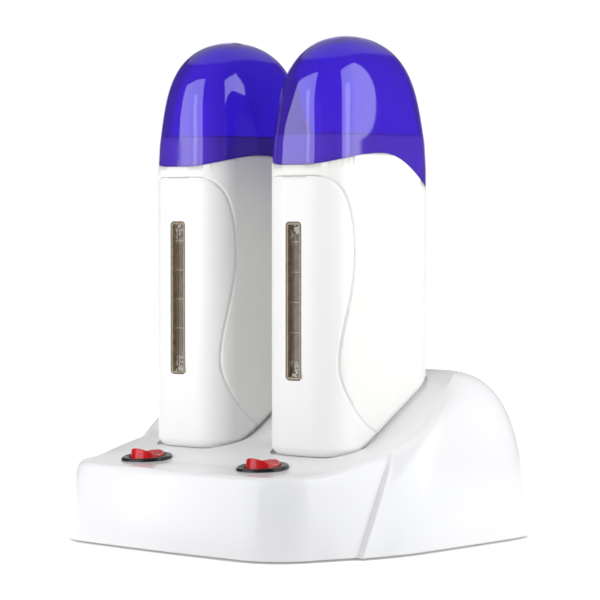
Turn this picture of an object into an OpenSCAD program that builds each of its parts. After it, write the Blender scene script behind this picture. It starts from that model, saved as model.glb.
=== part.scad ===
// Double roll-on wax heater: a desk base with two hand-held heaters that lift out.
// Each heater melts a wax cartridge under a lift-off cap and has its own round
// rocker switch in the front deck of the base.
// Millimetres, +Z up, the switches face -Y. The origin is the centre of the
// footprint on the ground.

/* [Base shell] */
// Reach of the base in front of the heaters' centre line
front_reach = 84; // [82:0.5:88]
// Reach of the base behind the heaters' centre line
rear_reach = 81; // [79:0.5:86]
// Half width of the base over its wings
wing_x = 88.4; // [86.5:0.1:92]
// Half width of the front part where the wings begin
waist_x = 80; // [78:0.5:82]
// How far a wing stands out of the front part
wing_step = 3.5; // [2:0.25:5]
// Place of the wing's front edge at the ground, from the heaters' centre line
wing_start_y = -43.5; // [-48:0.5:-40]
// Half width of the nearly flat front wall
front_x = 48; // [44:0.5:51]
// Bow of the front wall over that half width
front_bow = 1.4; // [1:0.1:3]
// Height of the deck at its front edge, on the middle
deck_front_h = 34.7; // [33.5:0.1:36]
// Upward tilt of the deck around the switches
deck_tilt = 2.5; // [1.5:0.25:4]
// Upward tilt of the deck just in front of the heaters
apron_tilt = 14; // [12:0.5:16]
// Upward tilt of the deck beside the heaters
side_tilt = 10; // [8:0.5:11]
// Drop of the deck towards its side edges
deck_crown = 0.5; // [0.2:0.1:1.5]
// Height of the ridge behind the heaters
ridge_h = 75.5; // [73:0.5:80]
// Wall of the base shell
base_wall = 2.5; // [2:0.1:3]

/* [Base floor] */
// Thickness of the bottom plate
plate_t = 2; // [1.6:0.1:3]
// Gap between the bottom plate and the shell
plate_gap = 0.3; // [0.2:0.05:0.6]
// Radius of a rubber foot
foot_r = 7; // [5:0.5:9]
// Height that a foot stands out of the base
foot_out = 1.2; // [0.8:0.1:3]
// Depth of a foot's pocket in the bottom plate
foot_pocket = 0.8; // [0.5:0.1:1.2]
// Radius of a screw boss under the shell
boss_r = 4; // [3.5:0.25:5]
// Radius of a base screw's shank
base_screw_r = 1.5; // [1.25:0.05:1.75]
// Length of a base screw's shank
base_screw_len = 12; // [8:0.5:16]

/* [Seats] */
// Distance of each heater's centre from the middle of the base
heater_x = 35.75; // [34:0.25:38]
// Height of the flat seat floor over the shell's lower edge
seat_z = 39.5; // [38:0.25:41]
// Clearance of a heater in its seat, each side
seat_gap = 0.8; // [0.5:0.1:1.2]
// Depth of the seat below the ramp
seat_sink = 0.6; // [0.4:0.1:1]
// Where a heater's flat base ends and its sloping base begins
heel_y = -16.2; // [-18:0.2:-14]
// Angle of the ramp and of the heater's sloping base
ramp_angle = 32.5; // [31:0.25:34]

/* [Switches] */
// Place of the switches, from the heaters' centre line
switch_y = -55; // [-58:0.5:-54]
// Radius of a switch's bezel
bezel_r = 11.5; // [10.8:0.1:12.5]
// Height of a switch's bezel
bezel_h = 2; // [1.5:0.1:2.5]
// Radius of the switch's barrel
barrel_r = 9.9; // [9.7:0.05:10.2]
// Depth of the switch's barrel under the deck
barrel_h = 16; // [14:0.5:18]
// Gap between the barrel and its hole
barrel_gap = 0.1; // [0.05:0.05:0.3]
// Radius of the rocker in plan
rocker_r = 7.4; // [7:0.1:7.6]
// Gap around the rocker in its pocket
rocker_gap = 0.7; // [0.6:0.05:0.8]
// Swing of a rocker between its two stops
rocker_swing = 21; // [16:0.5:22]
// Height of the rocker's raised end over its axle
rocker_rise = 4.9; // [4.2:0.1:5]
// Radius of the rocker's axle
axle_r = 1.2; // [1:0.05:1.4]
// Running gap around the axle
axle_gap = 0.06; // [0.04:0.01:0.1]
// Width of a switch terminal
blade_w = 4.8; // [3:0.1:5]
// Thickness of a switch terminal
blade_t = 0.8; // [0.6:0.1:1]
// Length of a switch terminal below the barrel
blade_len = 7; // [5:0.5:8]

/* [Heaters] */
// Width of a heater
heater_w = 44; // [43:0.25:46]
// Depth of a heater, front to back
heater_d = 71; // [70:0.25:73]
// Radius of a heater's front corners in plan
nose_r = 16; // [14:0.25:17]
// Radius of a heater's rear corners in plan
back_r = 12; // [10:0.25:13]
// Wall of a heater's casing
casing_wall = 2; // [1.8:0.1:2.4]
// Height of the cap's top over the seat
heater_h = 185; // [182:0.5:190]
// Height of the cap's lower edge at the front, over the seat
rim_front = 127.2; // [125:0.2:130]
// Height of the cap's lower edge at the sides, over the seat
rim_side = 132.5; // [131:0.25:134]
// Height of the cap's lower edge at the back, over the seat
rim_back = 115.5; // [113:0.5:120]
// Height of the collar's top over the seat
collar_h = 140; // [138:0.25:140.5]
// Inset of the collar from the casing's outside
collar_inset = 3; // [2.9:0.05:3.1]
// Wall of the collar
collar_wall = 1.5; // [1.2:0.1:1.5]
// Length of the thick neck under the cap's edge
neck_h = 4.8; // [3:0.2:4.8]
// Seam between the front cover and the casing
seam_gap = 0.35; // [0.2:0.05:0.5]
// Radius of the rounded lower edges at front and back
toe_r = 4; // [3:0.25:5]
// Height of the inner shelf over the seat
shelf_h = 29.5; // [28.5:0.25:31]
// Thickness of the inner shelf
shelf_t = 2; // [1.5:0.1:2.5]

/* [Caps] */
// Wall of a cap
cap_wall = 1.6; // [1.2:0.1:1.7]
// Gap between the cap's edge and the casing's shoulder
cap_gap = 0.3; // [0.2:0.05:0.5]

/* [Window] */
// Width of the window slot
window_w = 9.4; // [8:0.2:10]
// Height of the window slot
window_h = 69.4; // [60:0.2:72]
// Height of the slot's lower end over the seat
window_z = 33.3; // [32:0.2:36]
// Thickness of the lens in the slot
lens_t = 1.6; // [1.2:0.1:1.7]
// Thickness of the lens's flange behind the slot
lens_flange_t = 1; // [0.8:0.1:1.2]
// Spacing of the level marks on the lens
mark_pitch = 13.2; // [8:0.2:16]

/* [Wax well] */
// Width of the wax well
well_w = 34.4; // [33.6:0.1:34.8]
// Room between the wax well and the casing's rear wall
well_back_room = 9.2; // [8.5:0.1:10]
// Wall of the wax well
well_wall = 0.9; // [0.7:0.1:1.1]
// Gap between the well's front and the collar
well_front_gap = 0.3; // [0.2:0.05:0.6]
// Thickness of the ring that guides the cartridge
guide_t = 1.2; // [0.8:0.1:1.6]
// Thickness of the heating element
element_t = 4.5; // [3:0.25:5]
// Width of the heating element
element_w = 28; // [20:0.5:30]
// Height of the heating element
element_h = 64; // [50:1:70]
// Thickness of the clamping strap
strap_t = 0.8; // [0.6:0.1:1]
// Radius of the thermal cutout
cutout_r = 7; // [6:0.25:8]
// Thickness of the thermal cutout
cutout_t = 5; // [4:0.25:5.5]

/* [Contacts] */
// Distance of the contact pins behind the heaters' centre line
pin_y = 6; // [4:0.25:8]
// Spacing of a heater's two contact pins
pin_pitch = 14; // [12:0.5:15]
// Radius of a contact pin
pin_r = 2; // [1.6:0.05:2.2]
// Running gap between pin and sleeve
pin_gap = 0.05; // [0.03:0.01:0.1]
// Height of a pin's tip over the seat
pin_top = 26.5; // [25:0.25:27]
// Wall of a contact sleeve
sleeve_wall = 0.6; // [0.4:0.1:0.8]
// Width of the contact blocks' nose
nose_w = 24; // [22:0.5:26]
// Depth of the contact blocks' nose
nose_d = 10; // [8:0.5:10.5]

/* [Mains lead inlet] */
// Radius of the grommet's bore
gland_bore_r = 3.5; // [3:0.1:4]
// Radius of the grommet's hole in the rear wall
gland_hole_r = 5.5; // [5:0.1:6]
// Radius of the grommet's flanges
gland_flange_r = 7.5; // [7:0.1:8.5]
// How far the grommet stands out of the rear wall
gland_out = 1.4; // [1:0.1:3]
// Height of the grommet over the shell's lower edge
gland_z = 13; // [11:0.5:15]

/* [Hidden] */
$fn = 48;
levels = 9;             // rings up the base wall
deck_cuts = 8;          // strips across the deck, an even number
bend = 12;              // points in a curved stretch
far = 120;              // beyond any piece
eps = 0.02;             // overlap of cuts past a face
heater_y = (front_reach - rear_reach - gland_out) / 2;
round_in = 7;           // plan width of the rounded front edge
crown_x = 70;           // half width at which the deck has its whole drop
crown_from = heel_y - 14;   // the drop fades from here
crown_run = 40;         // and is gone after this
apron_fillet = 1.4;     // blend of the deck's two slopes
deck_fillet = 4;        // blend of deck and ramp
ridge_fillet = 3;       // blend of ramp and ridge
crest_y = rear_reach - 40;  // the ridge's line
fit = 0.05;             // clearance of a screw in its pilot hole
ramp_gap = 0.1;         // clearance of a heater's slope on the seat's, along y
in_w = heater_w - 2 * casing_wall;
collar_z = seat_z + collar_h;
shelf_z = seat_z + shelf_h;
neck_in = collar_inset + collar_wall;
well_r = nose_r - neck_in - well_front_gap;
nose_y = -heater_d / 2;
well_back = heater_d / 2 - casing_wall - well_back_room;
well_d = well_back - (nose_y + neck_in + well_front_gap);
well_y = well_back - well_d / 2;
cover_top = seat_z + rim_front - neck_h - 0.2;
rocker_drop = 0.4;      // the rocker's axle lies this far under the bezel's top
spot = 0.3;             // depth of the flat seat milled for the bezel
block_w = nose_w + 6;
block_d = nose_d + 6;
block_low = 30;
socket_low = shelf_z - 12;
socket_back = pin_y + nose_d / 2 + 1.5;
wire_hole_y = -0.2;     // the wire holes' middle from the well's back
sleeve_r = pin_r + pin_gap + sleeve_wall;
front_boss = [front_x + 6, 22 - front_reach];
side_boss = [wing_x - 25.4, heel_y + 8.2];
rear_boss = [wing_x - 42.4, rear_reach - 15];
rear_boss_h = 36;
foot_at = [[front_x + 4, 36 - front_reach], [wing_x - 22.4, rear_reach - 37]];
case_screw = [heater_w / 4, nose_y + 11.5];
case_screw_r = 1.4;
case_screw_len = 14;

// ---- curves -----------------------------------------------------------------

function bez(p, t) =
    pow(1 - t, 3) * p[0] + 3 * t * pow(1 - t, 2) * p[1] + 3 * t * t * (1 - t) * p[2] + pow(t, 3) * p[3];
function mix(a, b, t) = a + (b - a) * t;
function clip(v) = min(max(v, 0), 1);
function smax(a, b, k) = max(a, b) + pow(max(k - abs(a - b), 0), 2) / (4 * k);
function smin(a, b, k) = min(a, b) - pow(max(k - abs(a - b), 0), 2) / (4 * k);
function arc(c, r, a0, a1, n = bend) =
    [for (i = [0:n]) let (a = mix(a0, a1, i / n)) c + r * [cos(a), sin(a)]];
function shift(points, d) = [for (p = points) p + d];
function backwards(list) = [for (i = [len(list) - 1:-1:0]) list[i]];

// ---- heights of the base's top ----------------------------------------------

function deck_z(y) = let (back = y + heater_d / 2 + seat_gap) smax(
    deck_front_h + (y + front_reach - round_in) * tan(deck_tilt),
    seat_z + smin(back * tan(apron_tilt), back * tan(side_tilt), apron_fillet), apron_fillet);
function ramp_z(y) = seat_z + seat_sink + (y - heel_y) * tan(ramp_angle);
function ridge_z(y) = smin(smax(deck_z(y), ramp_z(y), deck_fillet), ridge_h, ridge_fillet);
function crown(x, y) =
    deck_crown * pow(x / crown_x, 2) * clip(1 - (y - crown_from) / crown_run);
function top_z(x, y) = ridge_z(y) - crown(x, y);

// ---- the base's skin ----------------------------------------------------------
// A station is a line up the wall: its foot on the ground outline, its head on
// the top outline, and the two handles of the curve between them, as shares of
// the way from foot to head.

front_line = [[.42, .42, .88], [.5, .5, 1]];
corner_line = [[.25, .3, .85], [.35, .45, 1]];
crease_line = [[.05, .36, .5], [.12, .75, .97]];
wing_line = [[.1, .33, .8], [.12, .66, 1]];
tail_line = [[.13, .13, .72], [.26, .26, 1]];
back_line = [[0, 0, .55], [.45, .45, 1]];

function stretch(foot, head, line0, line1, n) =
    [for (i = [0:n - 1]) let (t = i / n) [bez(foot, t), bez(head, t), mix(line0, line1, t)]];

front_y = -front_reach + front_bow;
knee = [waist_x - 7.5, 20.5 - front_reach]; // end of the front corner on the ground
crease = [waist_x, wing_start_y];
wing_nose = crease + [wing_step, 0.4];
wing_side = [wing_x, wing_start_y + 31.5];
wing_tail = [wing_x - 1.6, rear_reach - 31];
rear_x = wing_x - 30.4;             // half width of the straight rear wall
top_front = [front_x - 3, front_y + round_in];
top_knee = knee + [-6.5, 4];
top_crease = [waist_x - 8.5, wing_start_y + 30.5];
top_wing = [wing_x - 12.4, wing_side.y + 16];
top_tail = [wing_x - 19.4, crest_y - 11];
top_rear = [wing_x - 31.4, crest_y];
top_nose = top_crease + [0.3, 0.4];

stations = concat(
    stretch([[0, -front_reach], [front_x * .35, -front_reach], [front_x * .7, front_y - front_bow * .4],
             [front_x, front_y]],
            [[0, -front_reach + round_in], [front_x * .3, -front_reach + round_in],
             [front_x * .7, front_y - front_bow * .4 + round_in], top_front], front_line, front_line, 3),
    stretch([[front_x, front_y], [front_x + 12, front_y + .5], knee - [3.5, 11.5], knee],
            [top_front, top_front + [12, .4], top_knee - [2.5, 10], top_knee], front_line, corner_line, 7),
    stretch([knee, mix(knee, crease, .33), mix(knee, crease, .67), crease],
            [top_knee, top_knee + [4, 13], top_crease - [-2, 16], top_crease], corner_line, crease_line, 4),
    stretch([crease, crease, wing_nose, wing_nose],
            [top_crease, top_crease, top_nose, top_nose], crease_line, crease_line, 1),
    stretch([wing_nose, wing_nose + [2, 8], wing_side - [.2, 12], wing_side],
            [top_nose, top_nose + [0, 6], top_wing - [0, 6], top_wing], crease_line, wing_line, 4),
    stretch([wing_side, wing_side + [0, 18], wing_tail - [-.8, 20], wing_tail],
            [top_wing, top_wing + [0, 10], top_tail - [-1, 9], top_tail], wing_line, tail_line, 5),
    stretch([wing_tail, wing_tail + [-.5, 24], [rear_x + 21, rear_reach], [rear_x, rear_reach]],
            [top_tail, top_tail + [-1, 7], top_rear + [6, 0], top_rear], tail_line, back_line, 8),
    stretch([[rear_x, rear_reach], [rear_x * .67, rear_reach], [rear_x * .33, rear_reach], [0, rear_reach]],
            [top_rear, [top_rear.x * 2 / 3, crest_y], [top_rear.x / 3, crest_y], [0, crest_y]],
            back_line, back_line, deck_cuts / 2),
    [[[0, rear_reach], [0, crest_y], back_line]]);
last = len(stations) - 1;
round = 2 * last;                   // points in one ring
crest = last - deck_cuts / 2;       // the station whose row of the deck is the straight crest

function shrink(p, inset) = [p.x * (1 - inset / wing_x), p.y * (1 - inset / rear_reach)];
function wall_point(s, t, inset) =
    let (foot = shrink(s[0], inset), head = shrink(s[1], inset),
         way = bez([[0, 0, 0], s[2][0], s[2][1], [1, 1, 1]], t))
    [mix(foot.x, head.x, way.x), mix(foot.y, head.y, way.y), way.z * (top_z(head.x, head.y) - inset)];
function ring(t, inset) = [for (k = [0:round - 1])
    let (p = wall_point(stations[k <= last ? k : round - k], t, inset)) [k <= last ? p.x : -p.x, p.y, p.z]];
function deck_row(s, inset) =
    let (head = shrink(s[1], inset))
    [for (c = [1:deck_cuts - 1]) let (x = head.x * (1 - 2 * c / deck_cuts)) [x, head.y, top_z(x, head.y) - inset]];
function skin(inset) = concat(
    [for (j = [0:levels]) for (p = ring(j / levels, inset)) p],
    [for (i = [1:crest - 1]) for (p = deck_row(stations[i], inset)) p]);
function deck_index(i, c) =
    i == crest ? levels * round + i + c :
    c == 0 ? levels * round + i :
    c == deck_cuts ? levels * round + round - i :
    (levels + 1) * round + (i - 1) * (deck_cuts - 1) + c - 1;
function quad(a, b, c, d) = [[a, b, c], [a, c, d]];
function skin_faces() = concat(
    [for (j = [0:levels - 1]) for (k = [0:round - 1])
        for (f = quad(j * round + k, (j + 1) * round + k,
                      (j + 1) * round + (k + 1) % round, j * round + (k + 1) % round)) f],
    [for (i = [1:crest - 1]) for (c = [0:deck_cuts - 1])
        for (f = quad(deck_index(i, c), deck_index(i, c + 1), deck_index(i + 1, c + 1), deck_index(i + 1, c))) f],
    [for (c = [0:deck_cuts - 1]) [levels * round, deck_index(1, c + 1), deck_index(1, c)]]);

module base_skin() {
    outer = skin(0);
    inner = skin(base_wall);
    n = len(outer);
    polyhedron(concat(outer, inner), concat(
        skin_faces(),
        [for (f = skin_faces()) [f[2] + n, f[1] + n, f[0] + n]],
        [for (k = [0:round - 1]) for (f = quad(k, (k + 1) % round, n + (k + 1) % round, n + k)) f]));
}

// ---- helpers -------------------------------------------------------------------

// Puts a piece of the base in the part's frame
module in_frame() translate([0, heater_y, foot_out]) children();

// Puts a piece drawn for one heater on its side: -1 is left, 1 is right
module at_heater(side) in_frame() translate([side * heater_x, 0, 0]) children();

// Puts a piece drawn upright over its switch hole onto the tilted deck
switch_tilt = atan(ridge_z(switch_y + 0.5) - ridge_z(switch_y - 0.5));
module at_switch(side)
    in_frame() translate([side * heater_x, switch_y, top_z(heater_x, switch_y) - spot])
        rotate([switch_tilt, 0, 0]) children();

// Extrudes an outline given as (y, z) points along x
module across(points, w = 2 * far)
    rotate([90, 0, 90]) translate([0, 0, -w / 2]) linear_extrude(w) polygon(points);

// Everything under the deck, the ramp and the ridge, less a depth
module under_top(depth) {
    y0 = -front_reach;
    step = (crest_y + 5 - y0) / 40;
    across(concat([[crest_y + 5, -far], [y0, -far]],
        [for (i = [0:40]) let (y = y0 + i * step) [y, ridge_z(y) - depth]]));
}

// Plan section of a heater, its front towards -Y
module plan(w, d, front, back) {
    for (s = [-1, 1]) {
        translate([s * (w / 2 - front), front - d / 2]) circle(front);
        translate([s * (w / 2 - back), d / 2 - back]) circle(back);
    }
    translate([front - w / 2, -d / 2]) square([w - 2 * front, d]);
    translate([back - w / 2, front - d / 2]) square([w - 2 * back, d - front]);
    translate([-w / 2, front - d / 2]) square([w, d - front - back]);
}

module heater_plan(inset)
    plan(heater_w - 2 * inset, heater_d - 2 * inset, nose_r - inset, back_r - inset);

module block(low, size) translate([-size.x / 2, -size.y / 2, low]) cube(size);

// A screw that points up, its head under z = 0
module screw(r, len, head_r, head_t) {
    translate([0, 0, -head_t]) cylinder(r = head_r, h = head_t);
    translate([0, 0, -eps]) cylinder(r = r, h = len);
}

// A round wire along points, with eight sides
sides = 8;
function unit(v) = v / norm(v);
function wire_ring(p, t, r) =
    let (u = unit(cross(t, [.31, .22, .93])), v = cross(t, u))
    [for (i = [0:sides - 1]) p + r * (cos(360 * i / sides) * u + sin(360 * i / sides) * v)];
module wire(points, r) {
    n = len(points);
    polyhedron(
        [for (j = [0:n - 1])
            for (p = wire_ring(points[j], unit(points[min(j + 1, n - 1)] - points[max(j - 1, 0)]), r)) p],
        concat(
            [[for (i = [0:sides - 1]) i]],
            [for (j = [0:n - 2]) for (i = [0:sides - 1])
                for (f = quad(j * sides + i, (j + 1) * sides + i,
                              (j + 1) * sides + (i + 1) % sides, j * sides + (i + 1) % sides)) f],
            [[for (i = [sides - 1:-1:0]) (n - 1) * sides + i]]));
}
function route(p, n) = [for (i = [0:n]) bez(p, i / n)];

// ---- base ----------------------------------------------------------------------

// Lower outline of a heater and its seat, moved in by d
function sole(d) =
    let (r = toe_r - d, y0 = -heater_d / 2 + d, y1 = heater_d / 2 - d, z0 = seat_z + d,
         heel = heel_y - d * tan(ramp_angle / 2),
         tail_z = z0 + (y1 - toe_r - heel) * tan(ramp_angle) + toe_r / cos(ramp_angle))
    concat(arc([y0 + r, z0 + r], r, 180, 270), [[heel, z0]],
           arc([y1 - toe_r, tail_z], toe_r, ramp_angle - 90, 0));

module seat_cut() {
    g = seat_gap;
    y1 = heater_d / 2 + g;
    heel = heel_y + ramp_gap;
    intersection() {
        translate([0, 0, seat_z]) linear_extrude(far) heater_plan(-g);
        across([[-far, seat_z], [heel, seat_z], [y1, seat_z + (y1 - heel) * tan(ramp_angle)],
                [y1, far], [-far, far]]);
    }
}

module seat_floor() intersection() {
    translate([0, 0, seat_z - base_wall]) linear_extrude(base_wall + 6) heater_plan(-seat_gap - base_wall);
    across([[-far, 0], [heel_y + 12, 0], [heel_y + 12, far], [-far, far]]);
    under_top(0.8);
}

module boss(at, top) translate([at.x, at.y, plate_t]) cylinder(r = boss_r, h = top - plate_t);

module bosses() {
    for (s = [-1, 1]) {
        intersection() {
            union() for (p = [front_boss, side_boss]) boss([s * p.x, p.y], ridge_h);
            under_top(base_wall / 2 + deck_crown);
        }
        boss([s * rear_boss.x, rear_boss.y], rear_boss_h);
        translate([s * rear_boss.x - 1, rear_boss.y, plate_t])
            cube([2, rear_reach - 4.5 - rear_boss.y, rear_boss_h - 6]);
    }
}

module boss_holes()
    for (s = [-1, 1]) for (p = [front_boss, side_boss, rear_boss])
        translate([s * p.x, p.y, -eps]) cylinder(r = base_screw_r + fit, h = base_screw_len + 2);

module switch_hole() {
    translate([0, 0, -20]) cylinder(r = barrel_r + barrel_gap, h = 30);
    cylinder(r = bezel_r + barrel_gap, h = 10);
}

module base_shell() color("white") difference() {
    union() {
        in_frame() base_skin();
        in_frame() for (s = [-1, 1]) translate([s * heater_x, 0, 0]) seat_floor();
        in_frame() bosses();
    }
    for (s = [-1, 1]) {
        at_heater(s) seat_cut();
        at_switch(s) switch_hole();
        at_heater(s) translate([0, pin_y, 0]) block(block_low, [nose_w, nose_d, far]);
    }
    in_frame() boss_holes();
    in_frame() translate([0, 0, gland_z]) rotate([-90, 0, 0]) {
        translate([0, 0, crest_y]) cylinder(r = gland_hole_r, h = far);
        translate([0, 0, rear_reach - 1]) cylinder(r = gland_flange_r + 0.5, h = far);
    }
}

function plate_outline() =
    let (inset = base_wall + plate_gap)
    [for (k = [0:round - 1]) let (p = shrink(stations[k <= last ? k : round - k][0], inset))
        [k <= last ? p.x : -p.x, p.y]];

module base_plate() color("whitesmoke") in_frame() difference() {
    linear_extrude(plate_t) polygon(plate_outline());
    for (s = [-1, 1]) {
        for (p = foot_at) translate([s * p.x, p.y, -eps]) cylinder(r = foot_r + 0.1, h = foot_pocket + eps);
        for (p = [front_boss, side_boss, rear_boss]) translate([s * p.x, p.y, -eps]) {
            cylinder(r = base_screw_r + 0.2, h = far);
            cylinder(r = base_screw_r + 1.7, h = plate_t / 2 + eps);
        }
    }
    for (i = [-3:3]) translate([i * 9 - 1.5, -34, -eps]) cube([3, 26, far]);
}

module feet() color("dimgray") in_frame()
    for (s = [-1, 1]) for (p = foot_at)
        translate([s * p.x, p.y, -foot_out]) cylinder(r = foot_r, h = foot_out + foot_pocket);

module base_screws() color("silver") in_frame()
    for (s = [-1, 1]) for (p = [front_boss, side_boss, rear_boss])
        translate([s * p.x, p.y, plate_t / 2])
            screw(base_screw_r, base_screw_len - plate_t / 2, base_screw_r + 1.5, plate_t / 2);

module cord_gland() color("dimgray") in_frame() translate([0, rear_reach - 1, gland_z]) rotate([-90, 0, 0])
    rotate_extrude() polygon([
        [gland_bore_r, -5.5], [gland_flange_r, -5.5], [gland_flange_r, -3.5], [gland_hole_r - .1, -3.5],
        [gland_hole_r - .1, 0], [gland_flange_r, 0], [gland_flange_r, gland_out],
        [gland_flange_r - 1, gland_out + 1], [gland_bore_r, gland_out + 1]]);

block_size = [30, 16, 12];
block_y = rear_reach - 37;
pole_x = 7;
module terminal_block() color("ivory") in_frame() translate([0, block_y, 0]) difference() {
    union() {
        block(plate_t, [block_size.x, block_size.y, block_size.z - 3]);
        for (s = [-1, 1]) translate([s * pole_x, 0, 0]) block(plate_t, [9, block_size.y - 6, block_size.z]);
    }
    for (s = [-1, 1]) translate([s * pole_x, 0, 0]) {
        translate([0, 0, plate_t + 5]) rotate([90, 0, 0]) cylinder(r = 1.8, h = far, center = true);
        translate([0, 0, plate_t + 5]) cylinder(r = 1.6, h = far);
    }
}

module terminal_screws() color("silver") in_frame() for (s = [-1, 1])
    translate([s * pole_x, block_y, plate_t + 7]) difference() {
        cylinder(r = 1.5, h = block_size.z - 7.5);
        translate([-far, -.3, block_size.z - 8.5]) cube([2 * far, .6, 5]);
    }

// ---- switches --------------------------------------------------------------------

pocket_r = rocker_r + rocker_gap;
pocket_h = 9;
pivot_z = bezel_h - rocker_drop;

module switch_housing(side) color([.1, .1, .11]) at_switch(side) difference() {
    union() {
        cylinder(r = bezel_r, h = bezel_h - 0.8);
        translate([0, 0, bezel_h - 0.8]) cylinder(r1 = bezel_r, r2 = bezel_r - 1.6, h = 0.8);
        translate([0, 0, -barrel_h]) cylinder(r = barrel_r, h = barrel_h + eps);
    }
    translate([0, 0, -pocket_h]) cylinder(r = pocket_r, h = far);
    translate([0, 0, pivot_z - 1.5]) rotate([0, 90, 0])
        cylinder(r = axle_r + axle_gap, h = 2 * rocker_r + 3.6, center = true);
    for (s = [-1, 1]) translate([-blade_w / 2, s * 5 - blade_t / 2, -barrel_h - eps]) cube([blade_w, blade_t, 5]);
}

module switch_terminals(side) color("goldenrod") at_switch(side) for (s = [-1, 1])
    translate([-blade_w / 2, s * 5 - blade_t / 2, -barrel_h - blade_len])
        cube([blade_w, blade_t, blade_len + 4.9]);

// The rocker's top is a shallow V: the end that is pressed lies in line with the
// bezel and the other end stands up. Its axle runs along x.
module rocker(side) color("red") at_switch(side) translate([0, 0, pivot_z - 1.5])
    rotate([-rocker_swing / 2, 0, 0]) {
        intersection() {
            translate([0, 0, -4]) cylinder(r = rocker_r, h = 20);
            across([[-far, -4], [far, -4], [far, rocker_rise], [rocker_r, rocker_rise], [0, 1.9],
                    [-rocker_r, rocker_rise], [-far, rocker_rise]]);
        }
        rotate([0, 90, 0]) cylinder(r = axle_r, h = 2 * rocker_r + 3.2, center = true);
        translate([0, 0, -6]) cylinder(r = 1.5, h = 3);
    }

// ---- contacts in the base ----------------------------------------------------------

module pin_block(side) color([.15, .15, .16]) at_heater(side) difference() {
    intersection() {
        translate([0, pin_y, 0]) union() {
            block(block_low, [nose_w - .4, nose_d - .4, far]);
            block(block_low, [block_w, block_d, far]);
        }
        union() {
            under_top(base_wall + 0.02);
            intersection() {
                under_top(seat_sink + 0.6);
                translate([0, pin_y, 0]) block(block_low, [nose_w - .4, nose_d - .4, far]);
            }
        }
    }
    for (s = [-1, 1]) translate([s * pin_pitch / 2, pin_y, 0]) cylinder(r = pin_r + fit, h = far);
}

module contact_pins(side) color("gold") at_heater(side) for (s = [-1, 1])
    translate([s * pin_pitch / 2, pin_y, block_low - 5]) {
        cylinder(r = pin_r, h = seat_z + pin_top - block_low + 5 - 1);
        translate([0, 0, seat_z + pin_top - block_low + 5 - 1]) cylinder(r1 = pin_r, r2 = pin_r - .8, h = 1);
        cylinder(r = pin_r + 1.5, h = 5);
    }

pin_foot = block_low - 5 - eps;
module mains_wires() color("saddlebrown") in_frame() for (s = [-1, 1]) {
    x = s * (heater_x - pin_pitch / 2);
    pole = [s * (pole_x + .9), block_y, plate_t + 5];
    wire(concat([pole - [0, 4, 0]],
        route([pole - [0, 9, 0], pole - [0, 24, 0], [x, pin_y, 10], [x, pin_y, pin_foot - 3]], 9),
        [[x, pin_y, pin_foot]]), .8);
}

// Lower end of a switch's terminal, s = -1 or 1 for the one in front or behind
function blade_end(side, s) = let (a = switch_tilt, l = barrel_h + blade_len)
    [side * heater_x, switch_y + s * 5 * cos(a) + l * sin(a),
     top_z(heater_x, switch_y) - spot + s * 5 * sin(a) - l * cos(a) - .1];
module switch_wires(side) color("saddlebrown") in_frame() {
    x = side * heater_x + side * pin_pitch / 2;
    pole = [side * (pole_x - .9), block_y, plate_t + 5];
    rear = blade_end(side, 1);
    front = blade_end(side, -1);
    wire(concat([pole - [0, 4, 0]],
        route([pole - [0, 9, 0], [pole.x, 10, 4], rear - [side * 12, -9, 8], rear - [0, 0, 1.5]], 13), [rear]), .7);
    wire(concat([[x, pin_y, pin_foot]],
        route([[x, pin_y, pin_foot - 3], [x, -14, 12], front + [0, 14, -7], front - [0, 0, 1.5]], 9), [front]), .7);
}

// ---- heater ------------------------------------------------------------------------

// The cap's lower edge as (y, z) points, from front to back
function rim() = let (side_z = seat_z + rim_side, front_z = seat_z + rim_front, back_z = seat_z + rim_back)
    concat(
        [for (i = [0:bend - 1]) bez([[nose_y, front_z], [.79 * nose_y, front_z + 2.8], [.39 * nose_y, side_z],
                                     [.09 * nose_y, side_z]], i / bend)],
        [for (i = [0:bend]) bez([[.09 * nose_y, side_z], [-.48 * nose_y, side_z + 1], [-.7 * nose_y, back_z + 1],
                                 [-nose_y, back_z]], i / bend)]);

// The S-shaped edge of the front cover as (y, z) points, from the top down
seam_waist = [nose_y + 15.5, seat_z + .696 * rim_front];
seam_hip = [nose_y + 7.7, seat_z + .318 * rim_front];
seam_foot = [heel_y + 13.2, seat_z + 13.2 * tan(ramp_angle)];
function seam() = concat(
    [[-far, cover_top]],
    [for (i = [0:bend - 1]) bez([[nose_y, cover_top], [nose_y + 9.5, cover_top], seam_waist + [0, 17], seam_waist],
                                i / bend)],
    [for (i = [0:bend - 1]) bez([seam_waist, seam_waist - [0, 16], seam_hip + [0, 16], seam_hip], i / bend)],
    [for (i = [0:bend]) bez([seam_hip, seam_hip - [0, 14], seam_foot + [-13, 5.5], seam_foot], i / bend)],
    [seam_foot + [6, -16], [-far, seat_z - 12]]);

module casing_solid() intersection() {
    translate([0, 0, seat_z - 1]) linear_extrude(heater_h) heater_plan(0);
    across(concat(sole(0), backwards(rim())));
}

module casing_hollow() intersection() {
    translate([0, 0, seat_z]) linear_extrude(heater_h) heater_plan(casing_wall);
    across(concat(sole(casing_wall), backwards(shift(rim(), [0, -neck_h]))));
}

module neck_hollow() translate([0, 0, shelf_z + 20]) linear_extrude(heater_h) heater_plan(neck_in);

module collar() intersection() {
    translate([0, 0, collar_z - 40]) linear_extrude(40) heater_plan(collar_inset);
    across(concat([[-far, far * 2], [far, far * 2]], backwards(shift(rim(), [0, -1]))));
}

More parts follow.
